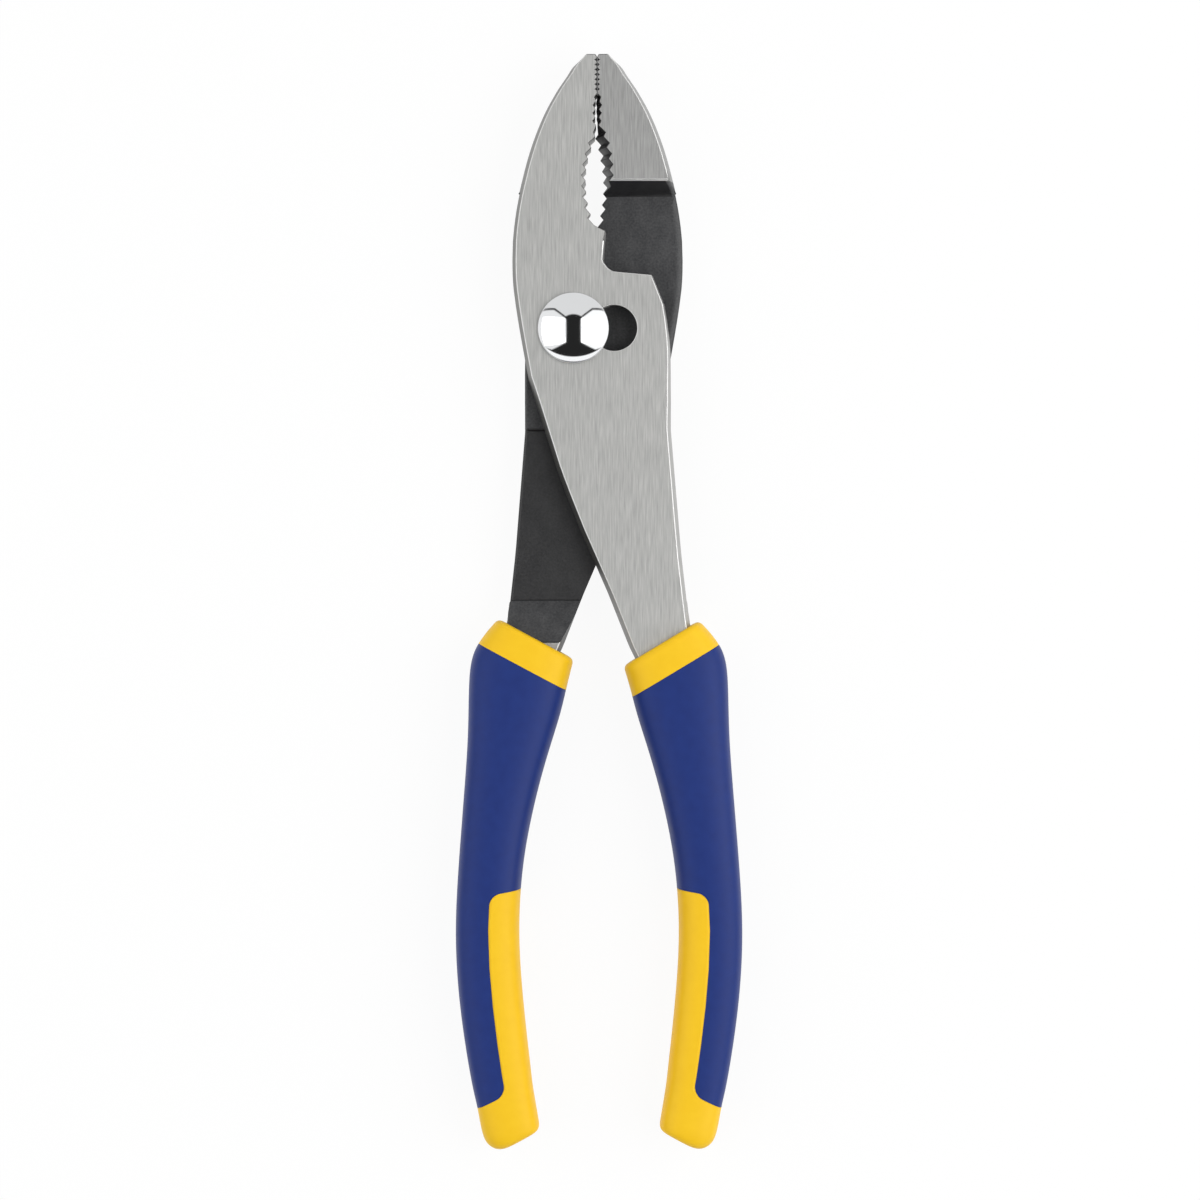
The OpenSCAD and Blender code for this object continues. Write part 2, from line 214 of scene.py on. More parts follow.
def settle(piece):
    """Puts a piece's place into its mesh, so that the object sits at the origin."""
    only(piece)
    bpy.ops.object.transform_apply(location=True, rotation=True, scale=True)


def smooth(piece, degrees=35):
    """Shades a piece smooth, except at edges sharper than this."""
    only(piece)
    bpy.ops.object.shade_smooth_by_angle(angle=math.radians(degrees))


print("an edge counts as sharp from", SHARP, "degrees")

# %% [markdown]
# ## Shader sums
# A material is a web of nodes. Placing and linking them one by one hides the sum that they work out, so
# the class below holds one output socket. Adding or multiplying two of them places the Math node.

# %% Helper for materials
class Socket:
    """An output socket of a node tree, usable in sums."""

    def __init__(self, tree, out=None):
        self.tree = tree
        self.out = out

    def make(self, kind, settings=(), sockets=(), out=0):
        """Adds any node: its settings first, then the values or links of its sockets."""
        node = self.tree.nodes.new(kind)
        for name, value in dict(settings).items():
            setattr(node, name, value)
        for name, value in dict(sockets).items():
            if isinstance(value, Socket):
                self.tree.links.new(value.out, node.inputs[name])
            else:
                node.inputs[name].default_value = value
        return Socket(self.tree, node.outputs[out]) if node.outputs else None

    def math(self, operation, *values):
        return self.make("ShaderNodeMath", {"operation": operation}, dict(enumerate(values)))

    def __add__(self, other):
        return self.math("ADD", self, other)

    __radd__ = __add__

    def __sub__(self, other):
        return self.math("SUBTRACT", self, other)

    def __rsub__(self, other):
        return self.math("SUBTRACT", other, self)

    def __mul__(self, other):
        return self.math("MULTIPLY", self, other)

    __rmul__ = __mul__


def new_material(name):
    """An empty material, and a Socket that its nodes can be made from."""
    material = bpy.data.materials.new(name)
    material.use_nodes = True
    material.node_tree.nodes.clear()
    return material, Socket(material.node_tree)


def surface(start, shader):
    start.make("ShaderNodeOutputMaterial", (), {"Surface": shader})


def principled(start, sockets):
    """The one shader of a plain finish, with these values or links."""
    surface(start, start.make("ShaderNodeBsdfPrincipled", (), sockets))


print("sums that sockets can be in: add, subtract, multiply")

# %% [markdown]
# ## Patterns
# Every real surface has some cloudiness: grinding lines, scale, haze or pebble. Pictures of such surfaces
# could be laid on, but they repeat and blur close up. Noise has no end and no seam, and its blotches are
# given here in metres, so a pattern keeps its true size on every piece.

# %% Patterns that every finish uses
CONTRAST = 2.4
PATTERN_MIDDLE = 0.5
NOISE_ROUGH = 0.5


def noise(start, size, detail=2.0):
    """Cloudy pattern from 0 to 1 whose blotches have this size (one number, or one per axis)."""
    sizes = size if isinstance(size, tuple) else (size, size, size)
    place = start.make("ShaderNodeTexCoord", out="Object")
    scaled = start.make(
        "ShaderNodeVectorMath", {"operation": "MULTIPLY"}, {0: place, 1: tuple(1 / s for s in sizes)}
    )
    return start.make(
        "ShaderNodeTexNoise",
        (),
        {"Vector": scaled, "Scale": 1.0, "Detail": detail, "Roughness": NOISE_ROUGH},
    )


def stronger(pattern):
    """The same pattern with more contrast about its middle."""
    return (pattern - PATTERN_MIDDLE) * CONTRAST + PATTERN_MIDDLE


def tint(start, amount, dark, light):
    """A colour between dark and light. Inputs 6 and 7 and output 2 of the Mix node are its colours."""
    return start.make(
        "ShaderNodeMix",
        {"data_type": "RGBA"},
        {"Factor": amount, 6: (*dark, 1), 7: (*light, 1)},
        out=2,
    )


def bumps(start, strength, depth, height):
    """A surface direction that follows a pattern as if it were this deep."""
    return start.make(
        "ShaderNodeBump", (), {"Strength": strength, "Distance": depth, "Height": height}
    )


print("pattern contrast:", CONTRAST)

# %% [markdown]
# ## Ground steel
# The outer flats are ground on a coarse belt, which leaves lines along the tool. An anisotropic shader
# gives such a sheen without lines. Stretched noise shows the lines themselves, also close up, so it
# varies both the colour and a very shallow bump. Wide clouds keep the flat from looking printed.

# %% Ground steel
BELT_LINE = (0.3 * MM, 6 * MM, 0.3 * MM)
BELT_LINE_D = 0.01 * MM
BELT_BUMP = 1.0
BELT_CLOUD = (5 * MM, 20 * MM, 5 * MM)
BELT_SHARE = 0.8
BELT_ROUGH = 0.54
BELT_ROUGH_MORE = 0.1


def ground_steel(name, dark, light):
    material, start = new_material(name)
    lines = noise(start, BELT_LINE, detail=3)
    cloud = noise(start, BELT_CLOUD)
    grain = stronger(lines) * BELT_SHARE + cloud * (1 - BELT_SHARE)
    principled(
        start,
        {
            "Base Color": tint(start, grain, dark, light),
            "Metallic": 1.0,
            "Roughness": BELT_ROUGH + cloud * BELT_ROUGH_MORE,
            "Normal": bumps(start, BELT_BUMP, BELT_LINE_D, lines),
        },
    )
    return material


print("belt lines in mm:", [size / MM for size in BELT_LINE])

# %% [markdown]
# ## Forged steel
# What the belt doesn't reach keeps the skin of the forging die: fine scale with faint clouds. It is bare
# grey metal on the sides of one half that face away from the right lamp, and black oxide elsewhere, rubbed
# paler on the lap of the head. Most walls that face the right lamp take the bright ground steel instead,
# and the ramps take the paler oxide: both are painted light. A material for each could be built by hand,
# but all have the same pattern, so one function makes them, as metal or as a dark coating.

# %% Forged steel, bare or black
SCALE_GRAIN = 0.5 * MM
SCALE_GRAIN_D = 0.03 * MM
SCALE_BUMP = 0.6
SCALE_CLOUD = (3 * MM, 6 * MM, 3 * MM)
SCALE_SHARE = 0.6
SCALE_ROUGH = 0.4
SCALE_ROUGH_MORE = 0.12


def forged(name, metallic, dark, light):
    material, start = new_material(name)
    scale = noise(start, SCALE_GRAIN, detail=4)
    cloud = noise(start, SCALE_CLOUD, detail=3)
    mottle = stronger(scale * SCALE_SHARE + cloud * (1 - SCALE_SHARE))
    principled(
        start,
        {
            "Base Color": tint(start, mottle, dark, light),
            "Metallic": metallic,
            "Roughness": SCALE_ROUGH + scale * SCALE_ROUGH_MORE,
            "Normal": bumps(start, SCALE_BUMP, SCALE_GRAIN_D, scale),
        },
    )
    return material


print("scale grain in mm:", SCALE_GRAIN / MM)

# %% [markdown]
# ## Bright metal
# The bolt is chromed, the nut is zinc plated, and the corners where black meets ground steel are rubbed
# bright by use. The rim at the step below the jaw is paler still, which is partly wear and partly a painted
# highlight. A mirror with no variation looks false, so a soft haze changes how sharp it is.

# %% Plated and worn metal
HAZE = 2 * MM
HAZE_SHARE = 0.3


def plated(name, colour, roughness):
    material, start = new_material(name)
    haze = noise(start, HAZE)
    principled(
        start,
        {
            "Base Color": (*colour, 1),
            "Metallic": 1.0,
            "Roughness": roughness + haze * roughness * HAZE_SHARE,
        },
    )
    return material


print("haze in mm:", HAZE / MM)

# %% [markdown]
# ## Rubber
# Both shots of the grips are soft satin rubber. Its gloss is low and its mould is lightly sand blasted,
# which a fine shallow bump shows better than a colour pattern would.

# %% Satin rubber
PEBBLE = 0.28 * MM
PEBBLE_D = 0.02 * MM
PEBBLE_BUMP = 0.5
RUBBER_MOTTLE = 2.5 * MM
RUBBER_ROUGH = 0.46
RUBBER_ROUGH_MORE = 0.1
RUBBER_GLOSS = 0.24


def satin_rubber(name, dark, light):
    material, start = new_material(name)
    mottle = noise(start, RUBBER_MOTTLE, detail=3)
    pebble = noise(start, PEBBLE, detail=2)
    principled(
        start,
        {
            "Base Color": tint(start, mottle, dark, light),
            "Roughness": RUBBER_ROUGH + mottle * RUBBER_ROUGH_MORE,
            "Specular IOR Level": RUBBER_GLOSS,
            "Normal": bumps(start, PEBBLE_BUMP, PEBBLE_D, pebble),
        },
    )
    return material


print("pebble grain in mm:", PEBBLE / MM)

# %% [markdown]
# ## The finishes side by side
# The tool shows eleven finishes: two tones of ground steel, bare, black and rubbed forging, a worn and a
# bright edge, chrome, zinc, and the yellow and blue rubber. The rubbed forging is also the painted light on
# the ramps, and the bright edge is worn steel with a painted highlight. They could be made where they are
# used. In one table their colours can be compared, which is how they were matched.

# %% All the finishes
# Each row gives the darkest and the lightest colour, or the colour and the roughness of bright metal
FINISHES = {
    "steel": ground_steel("ground_steel", (0.375, 0.375, 0.368), (0.56, 0.56, 0.545)),
    "facet": ground_steel("ground_facet", (0.29, 0.29, 0.286), (0.46, 0.46, 0.452)),
    "bare": forged("bare_forging", 1.0, (0.13, 0.13, 0.125), (0.22, 0.22, 0.21)),
    "oxide": forged("black_oxide", 0.0, (0.004, 0.004, 0.005), (0.020, 0.020, 0.021)),
    # Rubbed paler on the lap of the head, and paler on the ramps as painted light
    "rubbed_and_lit": forged("rubbed_and_painted_lit_oxide", 0.0, (0.008, 0.009, 0.011), (0.056, 0.056, 0.058)),
    "edge": plated("worn_edge", (0.66, 0.66, 0.65), 0.42),
    # Worn steel at the step's rim, near white as a painted highlight
    "step_wear_and_highlight": plated("step_wear_and_painted_highlight", (0.95, 0.95, 0.94), 0.3),
    "chrome": plated("bright_chrome", (0.86, 0.87, 0.88), 0.055),
    "zinc": plated("zinc_plate", (0.62, 0.63, 0.64), 0.3),
    "yellow": satin_rubber("yellow_rubber", (0.80, 0.472, 0.005), (0.85, 0.53, 0.012)),
    "blue": satin_rubber("blue_rubber", (0.006, 0.021, 0.140), (0.009, 0.030, 0.180)),
}
print("finishes:", sorted(FINISHES))

# %% [markdown]
# ## The two forged halves
# Each half is forged, blackened, and then ground on its outer flats, so a flat is bright steel while the
# lap stays black. It could be drawn again from nothing, but the mechanical model already has this shape
# with sharp corners. A merged copy of it keeps every place, and then gets real edges and finishes.

# %% Places along the forging
LAP_Z = (STEEL_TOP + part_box("slotted_half")[0].z) / 2
TIP_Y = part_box("slotted_half")[1].y
STEP_Y = TIP_Y - 29.7 * MM
PIVOT = (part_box("pivot_bolt")[0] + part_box("pivot_bolt")[1]) / 2
CREASE_Y = PIVOT.y - 23.2 * MM
RAMP_Y = PIVOT.y - 62.9 * MM
FINE_Y = TIP_Y - 9.4 * MM
PIPE_Y = TIP_Y - 17 * MM
PIPE_END_Y = TIP_Y - 41 * MM
FLATNESS = 0.6


def merged_copy(node, name):
    """A copy of a model node as a new piece: joined triangles, flat faces whole again."""
    only(frame["nodes"][node])
    bpy.ops.object.duplicate()
    piece = bpy.context.object
    piece.name = name
    piece.data.name = name
    piece.parent = None
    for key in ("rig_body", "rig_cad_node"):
        del piece[key]
    piece.data.materials.clear()
    edit(piece)
    bpy.ops.mesh.remove_doubles(threshold=TOUCH)
    bpy.ops.mesh.dissolve_limited(angle_limit=math.radians(FLATNESS))
    bpy.ops.object.mode_set(mode="OBJECT")
    return piece


print("lap height in mm:", round(LAP_Z / MM, 2), "pivot at:", [round(x / MM, 2) for x in PIVOT])

# %% [markdown]
# ## Which face has which finish
# On the real tool the belt decides this: what lies in the plane of the flat is bright. Painting a mask
# would need a picture, while a face's height and direction tell the same thing. Direction also paints
# light: walls that face the right lamp get bright ground steel, the other walls a darker finish, and the
# ramps a paler oxide. The slots below are in the order in which the materials are added.

# %% Finish of each face
STEEL, OXIDE, RUBBED_AND_LIT, WALL, RIM, STEP_RIM = range(6)
# The upright share of a face's direction, from which it counts as level, or as no wall
UPRIGHT = 0.99
SLOPING = 0.7
LEVEL_NEAR = 0.2 * MM
FINE_W = 1.5 * MM
# From this share of its direction to the right, a wall is painted lit with ground steel
FACES_RIGHT = 0.2


def is_flat(face):
    """Whether a face is one of the two outer flats."""
    height = abs(face.calc_center_median().z - LAP_Z)
    return abs(face.normal.z) > UPRIGHT and abs(height - (STEEL_TOP - LAP_Z)) < LEVEL_NEAR


def is_rubbed_or_lit(face):
    """Whether a face is the lap of the head, which is rubbed paler, or the ramp up to the full handle,
    which is made paler as painted light.
    """
    place = face.calc_center_median()
    level = abs(face.normal.z) > UPRIGHT and abs(place.z - LAP_Z) < LEVEL_NEAR
    # The ramp takes the paler oxide as painted light, because it slopes towards the light
    ramp = place.y < RAMP_Y and abs(face.normal.z) > SLOPING
    return ramp or (level and place.y > CREASE_Y)


def finish_of(face, side):
    """The finish slot of a face of the half whose jaw is on this side: -1 for left, 1 for right."""
    if is_flat(face):
        return STEEL
    if is_rubbed_or_lit(face):
        return RUBBED_AND_LIT
    place = face.calc_center_median()
    fine = place.y > FINE_Y and abs(place.x) < FINE_W
    if fine or abs(face.normal.z) > SLOPING:
        return OXIDE
    # Walls that face the right lamp get the flat's bright ground steel, and the others the darker wall
    # finish: painted light from the right. This holds on the whole slotted half, and on the pinned jaw
    # above the step.
    bright = face.normal.x > FACES_RIGHT and (side < 0 or place.y > STEP_Y)
    return STEEL if bright else WALL


def paint_faces(side):
    """In edit mode, gives each face its finish slot."""
    mesh = bpy.context.object.data
    form = bmesh.from_edit_mesh(mesh)
    for face in form.faces:
        face.material_index = finish_of(face, side)
    bmesh.update_edit_mesh(mesh)


print("finish slots on a half:", STEP_RIM + 1)

# %% [markdown]
# ## Ramp and shoulder
# Below the neck the hidden face climbs to the full thickness of the handle in one even slope. The model
# bends there, so the points in between are set on a straight line. The shoulder beside the bolt has one
# proud corner, whose few points are moved one by one, as is quickest for a single corner.

# %% Straighten the ramp, raise the shoulder
RAMP_END_Y = RAMP_Y - 9.8 * MM
RAMP_FOOT = 0.38 * MM
RAMP_MARGIN = 0.5 * MM
NEAR = 0.1 * MM
# Corners of the shoulder in mm from the pivot: place, reach and move
CORNER_MOVES = [
    ((18.6, 11.1), 0.8, (-0.55, 1.2)),
    ((8.4, 13.4), 1.9, (0.25, 0.42)),
    ((6.9, 15.05), 0.45, (0.13, 0.22)),
]


def straighten_ramp(side):
    """In edit mode, makes the ramp on the hidden face one even slope up to the full handle."""
    full = STEEL_TOP - LAP_Z
    moved = 0
    for place in places():
        height = side * (place.z - LAP_Z)
        on_ramp = RAMP_END_Y + RAMP_MARGIN < place.y < RAMP_Y - RAMP_MARGIN
        if on_ramp and -NEAR < height < full - NEAR and abs(height) > TOUCH:
            share = (RAMP_Y - place.y) / (RAMP_Y - RAMP_END_Y)
            rise = (full + RAMP_FOOT) * share - RAMP_FOOT - height
            pick("VERT", at(place))
            move(0, 0, side * rise)
            moved += 1
    return moved


def raise_shoulder():
    """In edit mode, moves the corners of the shoulder beside the bolt."""
    for corner, reach, (across, up) in CORNER_MOVES:
        place = PIVOT.to_2d() + Vector(corner) * MM
        pick("VERT", lambda vert: (vert.co.to_2d() - place).length < reach * MM)
        move(across * MM, up * MM, 0)


print("ramp length in mm:", round((RAMP_Y - RAMP_END_Y) / MM, 2))

# %% [markdown]
# ## Teeth
# Three rows of teeth are broached into the jaws: fine ones at the tip, middle ones below, and a hollow
# for pipes. The model has them at their pitch. On the real tool the left jaw's teeth stand upright and
# the right jaw's lean under the opening, so points are moved across the closing line by a share of
# their height. New teeth would have to meet the jaw's outline again, so the model's own are moved.

# %% Move the teeth
TEETH_X = 6 * MM
HIDDEN_Z = 2 * MM
TOOTH_GAP = 0.3 * MM
# For each jaw: from height, to height, and in mm how far the teeth cross the closing line at each
TOOTH_MOVES = {
    -1: [(FINE_Y, PIPE_Y, 0.26, -0.25), (PIPE_Y, PIPE_Y - 11.5 * MM, 1.2, 0.0)],
    1: [(FINE_Y, PIPE_Y, 0.42, 0.15), (PIPE_Y, PIPE_Y - 14 * MM, 1.32, 0.0)],
}


def is_hidden(place):
    """Whether a place is near the parting line, under the face that is seen."""
    return abs(place.z - LAP_Z) < HIDDEN_Z


def stand_teeth_up(side):
    """In edit mode, sets each tooth's point at the parting line right under its point on the face."""
    toothed = [place for place in places() if PIPE_END_Y < place.y < FINE_Y and side * place.x < TEETH_X]
    shown = [place for place in toothed if place.z > STEEL_TOP - TOUCH]
    hidden = [place for place in toothed if is_hidden(place)]
    for low in hidden:
        top = min(shown, key=lambda place: abs(place.y - low.y))
        pick("VERT", at(low))
        move(top.x - low.x, 0, 0)
    return len(hidden)


def move_teeth(side):
    """In edit mode, moves the left jaw's teeth, or the hidden side of the right jaw's."""
    toothed = [place for place in places() if side * place.x < TEETH_X]
    if side > 0:
        toothed = [place for place in toothed if is_hidden(place)]
    moved = 0
    for high, low, at_high, at_low in TOOTH_MOVES[side]:
        for place in toothed:
            if low < place.y < high - TOOTH_GAP:
                share = (high - place.y) / (high - low)
                reach = (at_high + (at_low - at_high) * share) * MM
                pick("VERT", at(place))
                move(-side * reach, 0, 0)
                moved += 1
    return moved


print("heights of the fine and the pipe teeth in mm:", round(FINE_Y / MM, 1), round(PIPE_Y / MM, 1))

# %% [markdown]
# ## Notches and grooves
# The closed jaws let no light through: the notches of the middle teeth end at the parting line, and the
# fine grooves get shallower towards the back. Filling them with new solids would hide the cut. Moving
# only the vertices at their bottoms keeps each groove as it was cut, but less deep.

# %% Move the bottoms of the notches and grooves
NOTCH_D = 0.4 * MM
NOTCH_X = 1.5 * MM
GROOVE_D = 0.35 * MM
GROOVE_MORE = 0.05 * MM
GROOVE_X = 0.7 * MM
TIP_MARGIN = 0.5 * MM


def at_notch(vert, side):
    """Whether a vertex is at the bottom of a middle notch, at the parting line."""
    between_teeth = PIPE_Y + TOOTH_GAP < vert.co.y < FINE_Y
    return between_teeth and is_hidden(vert.co) and TOOTH_GAP < side * vert.co.x < NOTCH_X


def at_groove(vert, side):
    """Whether a vertex is at the bottom of a fine groove."""
    return FINE_Y < vert.co.y < TIP_Y - TIP_MARGIN and TOOTH_GAP < side * vert.co.x < GROOVE_X


def close_notches(side):
    """In edit mode, fills the middle notches at the parting line, so that no light falls through."""
    found = pick("VERT", lambda vert: at_notch(vert, side))
    move(-side * NOTCH_D, 0, 0)
    return found


def taper_grooves(side):
    """In edit mode, deepens the fine grooves on the face and closes them on the back."""
    pick("VERT", lambda vert: at_groove(vert, side) and vert.co.z > LAP_Z)
    move(side * GROOVE_MORE, 0, 0)
    found = pick("VERT", lambda vert: at_groove(vert, side) and vert.co.z < LAP_Z)
    move(-side * GROOVE_D, 0, 0)
    return found


print("fine groove depth in mm:", round(GROOVE_D / MM, 2))

# %% [markdown]
# ## Rounded edges
# The die leaves wide rounds where the lap meets the outside of the head and the neck, and a fine line
# where the neck changes height. The belt leaves a narrow rim around each flat, and use rubs it bright. A
# Bevel modifier would round all of these alike. The bevel operator on picked edges gives each its own
# width, and its own finish on the new faces.

# %% Rounds of the lap, the step and the neck
HEAD_ROUND = 0.9 * MM
NECK_ROUND = 0.7 * MM
ROUND_NEAR = 0.5 * MM
HEAD_X = 10 * MM
HEAD_Y = (PIVOT.y - 10 * MM, STEP_Y - 2 * MM)
NECK_X = 14 * MM
STEP_DEPTH = 4 * MM
HEAD_WIDEN = 0.95 * MM
WIDEN_X = 12.5 * MM
WIDEN_Y = (PIVOT.y - 8 * MM, STEP_Y - 5 * MM)
LAP_GAP = 0.03 * MM
# Rows below the lap face: from and to in mm, and the share of the move
WIDEN_ROWS = ((-0.02, 0.02, 1.0), (0.02, 0.1, 0.66), (0.1, 0.25, 0.33))


def on_lap_outside(edge, side, at_head):
    """Whether an edge is where the lap face meets the outer wall of the head, or else of the neck."""
    place = middle(edge)
    run = edge.verts[0].co - edge.verts[1].co
    level = all(abs(vert.co.z - LAP_Z) < ROUND_NEAR for vert in edge.verts)
    head = side * place.x > HEAD_X and HEAD_Y[0] < place.y < HEAD_Y[1]
    neck = side * place.x < -NECK_X and place.y < PIVOT.y
    return level and abs(run.y) > abs(run.x) and sharp(edge) and (head if at_head else neck)


def at_step_corner(edge, side):
    """Whether an edge runs down the outer corner of the step below the jaw."""
    low, high = sorted(vert.co.y for vert in edge.verts)
    upright = abs(edge.verts[0].co.z - edge.verts[1].co.z) > ROUND_NEAR
    beside = side * middle(edge).x > HEAD_X
    return upright and beside and sharp(edge) and STEP_Y - STEP_DEPTH < low and high < STEP_Y + ROUND_NEAR


def widen_lap_edge(side):
    """In edit mode, draws the upper rows of the rounded lap edge inwards, so that it fades out softly."""
    level = LAP_Z - LAP_GAP
    widened = 0
    for low, high, share in WIDEN_ROWS:
        widened += pick(
            "VERT",
            lambda vert: low * MM < level - vert.co.z < high * MM
            and side * vert.co.x > WIDEN_X
            and WIDEN_Y[0] < vert.co.y < WIDEN_Y[1],
        )
        move(-side * HEAD_WIDEN * share, 0, 0)
    return widened


def round_lap(side, made):
    """In edit mode, rounds the edges that the die leaves round."""
    made["head"] = pick(
        "EDGE", lambda edge: on_lap_outside(edge, side, True) or at_step_corner(edge, side)
    )
    bevel(HEAD_ROUND, segments=5, material=RUBBED_AND_LIT)
    if side > 0:
        made["widened"] = widen_lap_edge(side)
    made["neck"] = pick("EDGE", lambda edge: on_lap_outside(edge, side, False))
    bevel(NECK_ROUND, segments=3)


print("round of the head in mm:", round(HEAD_ROUND / MM, 2))

# %% [markdown]
# ## Creases
# Across the neck, two fine dark lines mark where the forging changes height: below the head, and at the
# foot of the ramp. A dark stripe in the material alone would stay flat from every side. A narrow round
# whose middle is pushed in is a real groove, and it holds its own shadow. The round also takes the black
# oxide, darker than the paler oxide on one side of it, as painted shade in the crease.

# %% Creases of the neck
CREASE_ROUND = 0.18 * MM
CREASE_LINE_D = 0.22 * MM
CREASE_L = 3 * MM
CREASE_FLATNESS = 3
CREASE_MARGIN = 1 * MM
CREASE_SHARP = 8
FOOT_LINE_Y = RAMP_Y - 0.1 * MM
NECK_LINE_Y = CREASE_Y - 0.35 * MM


def at_crease(edge):
    """Whether an edge crosses the hidden face of the neck, where its height changes."""
    run = edge.verts[0].co - edge.verts[1].co
    across = abs(run.x) > CREASE_L and abs(run.y) < abs(run.x) / CREASE_FLATNESS
    return across and middle(edge).y < CREASE_Y + CREASE_MARGIN and sharp(edge, CREASE_SHARP)


def at_crease_line(vert):
    """Whether a vertex is in the middle of a rounded crease."""
    at_foot = abs(vert.co.y - FOOT_LINE_Y) < NEAR
    at_neck = abs(vert.co.y - NECK_LINE_Y) < NEAR
    return (at_foot or at_neck) and abs(vert.co.z - LAP_Z) < CREASE_MARGIN


def line_creases(side, made):
    """In edit mode, makes each crease a fine groove, with the black oxide as painted shade along it."""
    made["crease"] = pick("EDGE", at_crease)
    # The round takes the darker black oxide: painted shade in the crease
    bevel(CREASE_ROUND, segments=3, material=OXIDE)
    made["line"] = pick("VERT", at_crease_line)
    move(0, 0, -side * CREASE_LINE_D)


print("crease heights in mm:", round(NECK_LINE_Y / MM, 1), round(FOOT_LINE_Y / MM, 1))

# %% [markdown]
# ## Rims
# Around each ground flat runs a thin bright rim, widest at the step below the jaw, where a paler colour
# paints a highlight on the worn edge. Teeth keep a small round in the finish of their own sides. One bevel
# over all of it would mix the widths, so the step, the flats, the fine teeth and the other teeth are
# rounded one after another.

# %% Rims of the flats and the teeth
STEP_ROUND = 0.36 * MM
RIM_ROUND = 0.22 * MM
FINE_ROUND = 0.15 * MM
TOOTH_ROUND = 0.1 * MM
STEP_NEAR = 0.05 * MM
TOOTHED_Y = PIVOT.y + 20 * MM
TOOTHED_X = 5 * MM


def at_flat(edge):
    """Whether an edge is a sharp one around a flat."""
    return sharp(edge) and any(is_flat(face) for face in edge.link_faces)


def at_tooth(edge, side):
    """Whether an edge is on the toothed side of a jaw."""
    place = middle(edge)
    width = FINE_W if place.y > FINE_Y else TOOTHED_X
    return place.y > TOOTHED_Y and side * place.x < width


def rim_flats(side, made):
    """In edit mode, rounds the edge of the step, then the rest of the flats, then the teeth."""
    made["step"] = pick(
        "EDGE",
        lambda edge: at_flat(edge) and all(abs(vert.co.y - STEP_Y) < STEP_NEAR for vert in edge.verts),
    )
    # The step's rim takes a near-white metal: a worn edge with a painted highlight
    bevel(STEP_ROUND, segments=2, material=STEP_RIM)
    made["rim"] = pick("EDGE", lambda edge: at_flat(edge) and not at_tooth(edge, side))
    bevel(RIM_ROUND, segments=2, material=RIM)
    made["fine"] = pick(
        "EDGE", lambda edge: sharp(edge) and at_tooth(edge, side) and middle(edge).y > FINE_Y
    )
    bevel(FINE_ROUND, segments=1, material=OXIDE)
    made["tooth"] = pick(
        "EDGE", lambda edge: sharp(edge) and at_tooth(edge, side) and middle(edge).y < FINE_Y
    )
    bevel(TOOTH_ROUND, segments=1, material=WALL)


print("rim in mm:", round(RIM_ROUND / MM, 2))

# %% [markdown]
# ## All the steps on both halves
# Both halves have nearly the same outline, and differ in their jaws and in how they are ground. They could
# be two scripts. One function that is told the side of the jaw keeps them alike where the real ones are.
# Points are moved first and edges rounded after, because a bevel adds points that are hard to pick.

# %% Dress both halves
TIP_SHORTER = 0.973
MERGE = 0.004 * MM


def dress_half(node, name, side, flat, wall):
    """The forged half whose jaw is on this side: -1 for left, 1 for right."""
    piece = merged_copy(node, name)
    for finish in (flat, "oxide", "rubbed_and_lit", wall, "edge", "step_wear_and_highlight"):
        piece.data.materials.append(FINISHES[finish])
    edit(piece)
    paint_faces(side)
    made = {"ramp": straighten_ramp(side)}
    if side < 0:
        made["upright"] = stand_teeth_up(side)
        raise_shoulder()
    else:
        made["notch"] = close_notches(side)
    made["teeth"] = move_teeth(side)
    made["groove"] = taper_grooves(side)
    round_lap(side, made)
    line_creases(side, made)
    rim_flats(side, made)
    pick("VERT", lambda vert: vert.co.y > PIPE_Y)
    bpy.ops.transform.resize(value=(1, TIP_SHORTER, 1), center_override=(0, PIPE_Y, 0))
    bpy.ops.mesh.select_all(action="SELECT")
    bpy.ops.mesh.remove_doubles(threshold=MERGE)
    smooth(piece)
    apply(piece, "WEIGHTED_NORMAL", keep_sharp=True)
    print(name, "vertices moved and edges rounded:", made)
    return piece


slotted = dress_half("slotted_half", "slotted_forging", -1, "steel", "bare")
pinned = dress_half("pinned_half", "pinned_forging", 1, "facet", "oxide")

# %% [markdown]
# ## The pivot bolt
# The bolt is turned from bar: a shallow polished dome with a thin rim, a shank with two flats that fits
# the slot one way only, and a threaded end. The dome could be a spun curve, but such a mesh has a dent
# at its pole. Part of a sphere cut by a plane reflects the room without one.

# %% Bolt
DOME_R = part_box("pivot_bolt")[1].x - PIVOT.x
DOME_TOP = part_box("pivot_bolt")[1].z
DOME_RINGS = 128
THREAD_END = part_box("pivot_bolt")[0].z
NUT_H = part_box("pivot_nut")[1].z
RIM_H = 0.7 * MM
RIM_EDGE = 0.14 * MM
UNDERSIDE = -0.9
HEAD_Z = STEEL_TOP + 0.05 * MM
SHANK_R = 5.2 * MM
FLAT_W = 6.2 * MM
THREAD_R = 3.4 * MM
THREAD_EDGE = 0.35 * MM
DIMPLE_SHARE = 0.45
DIMPLE_D = 0.5 * MM
PLAY = 0.05 * MM
ROD_SIDES = 96


def rod(name, radius, low, high, sides=ROD_SIDES):
    """An upright cylinder on the pivot's axis."""
    bpy.ops.object.select_all(action="DESELECT")
    bpy.ops.mesh.primitive_cylinder_add(
        vertices=sides, radius=radius, depth=high - low, location=(PIVOT.x, PIVOT.y, (low + high) / 2)
    )
    piece = bpy.context.object
    piece.name = name
    return piece


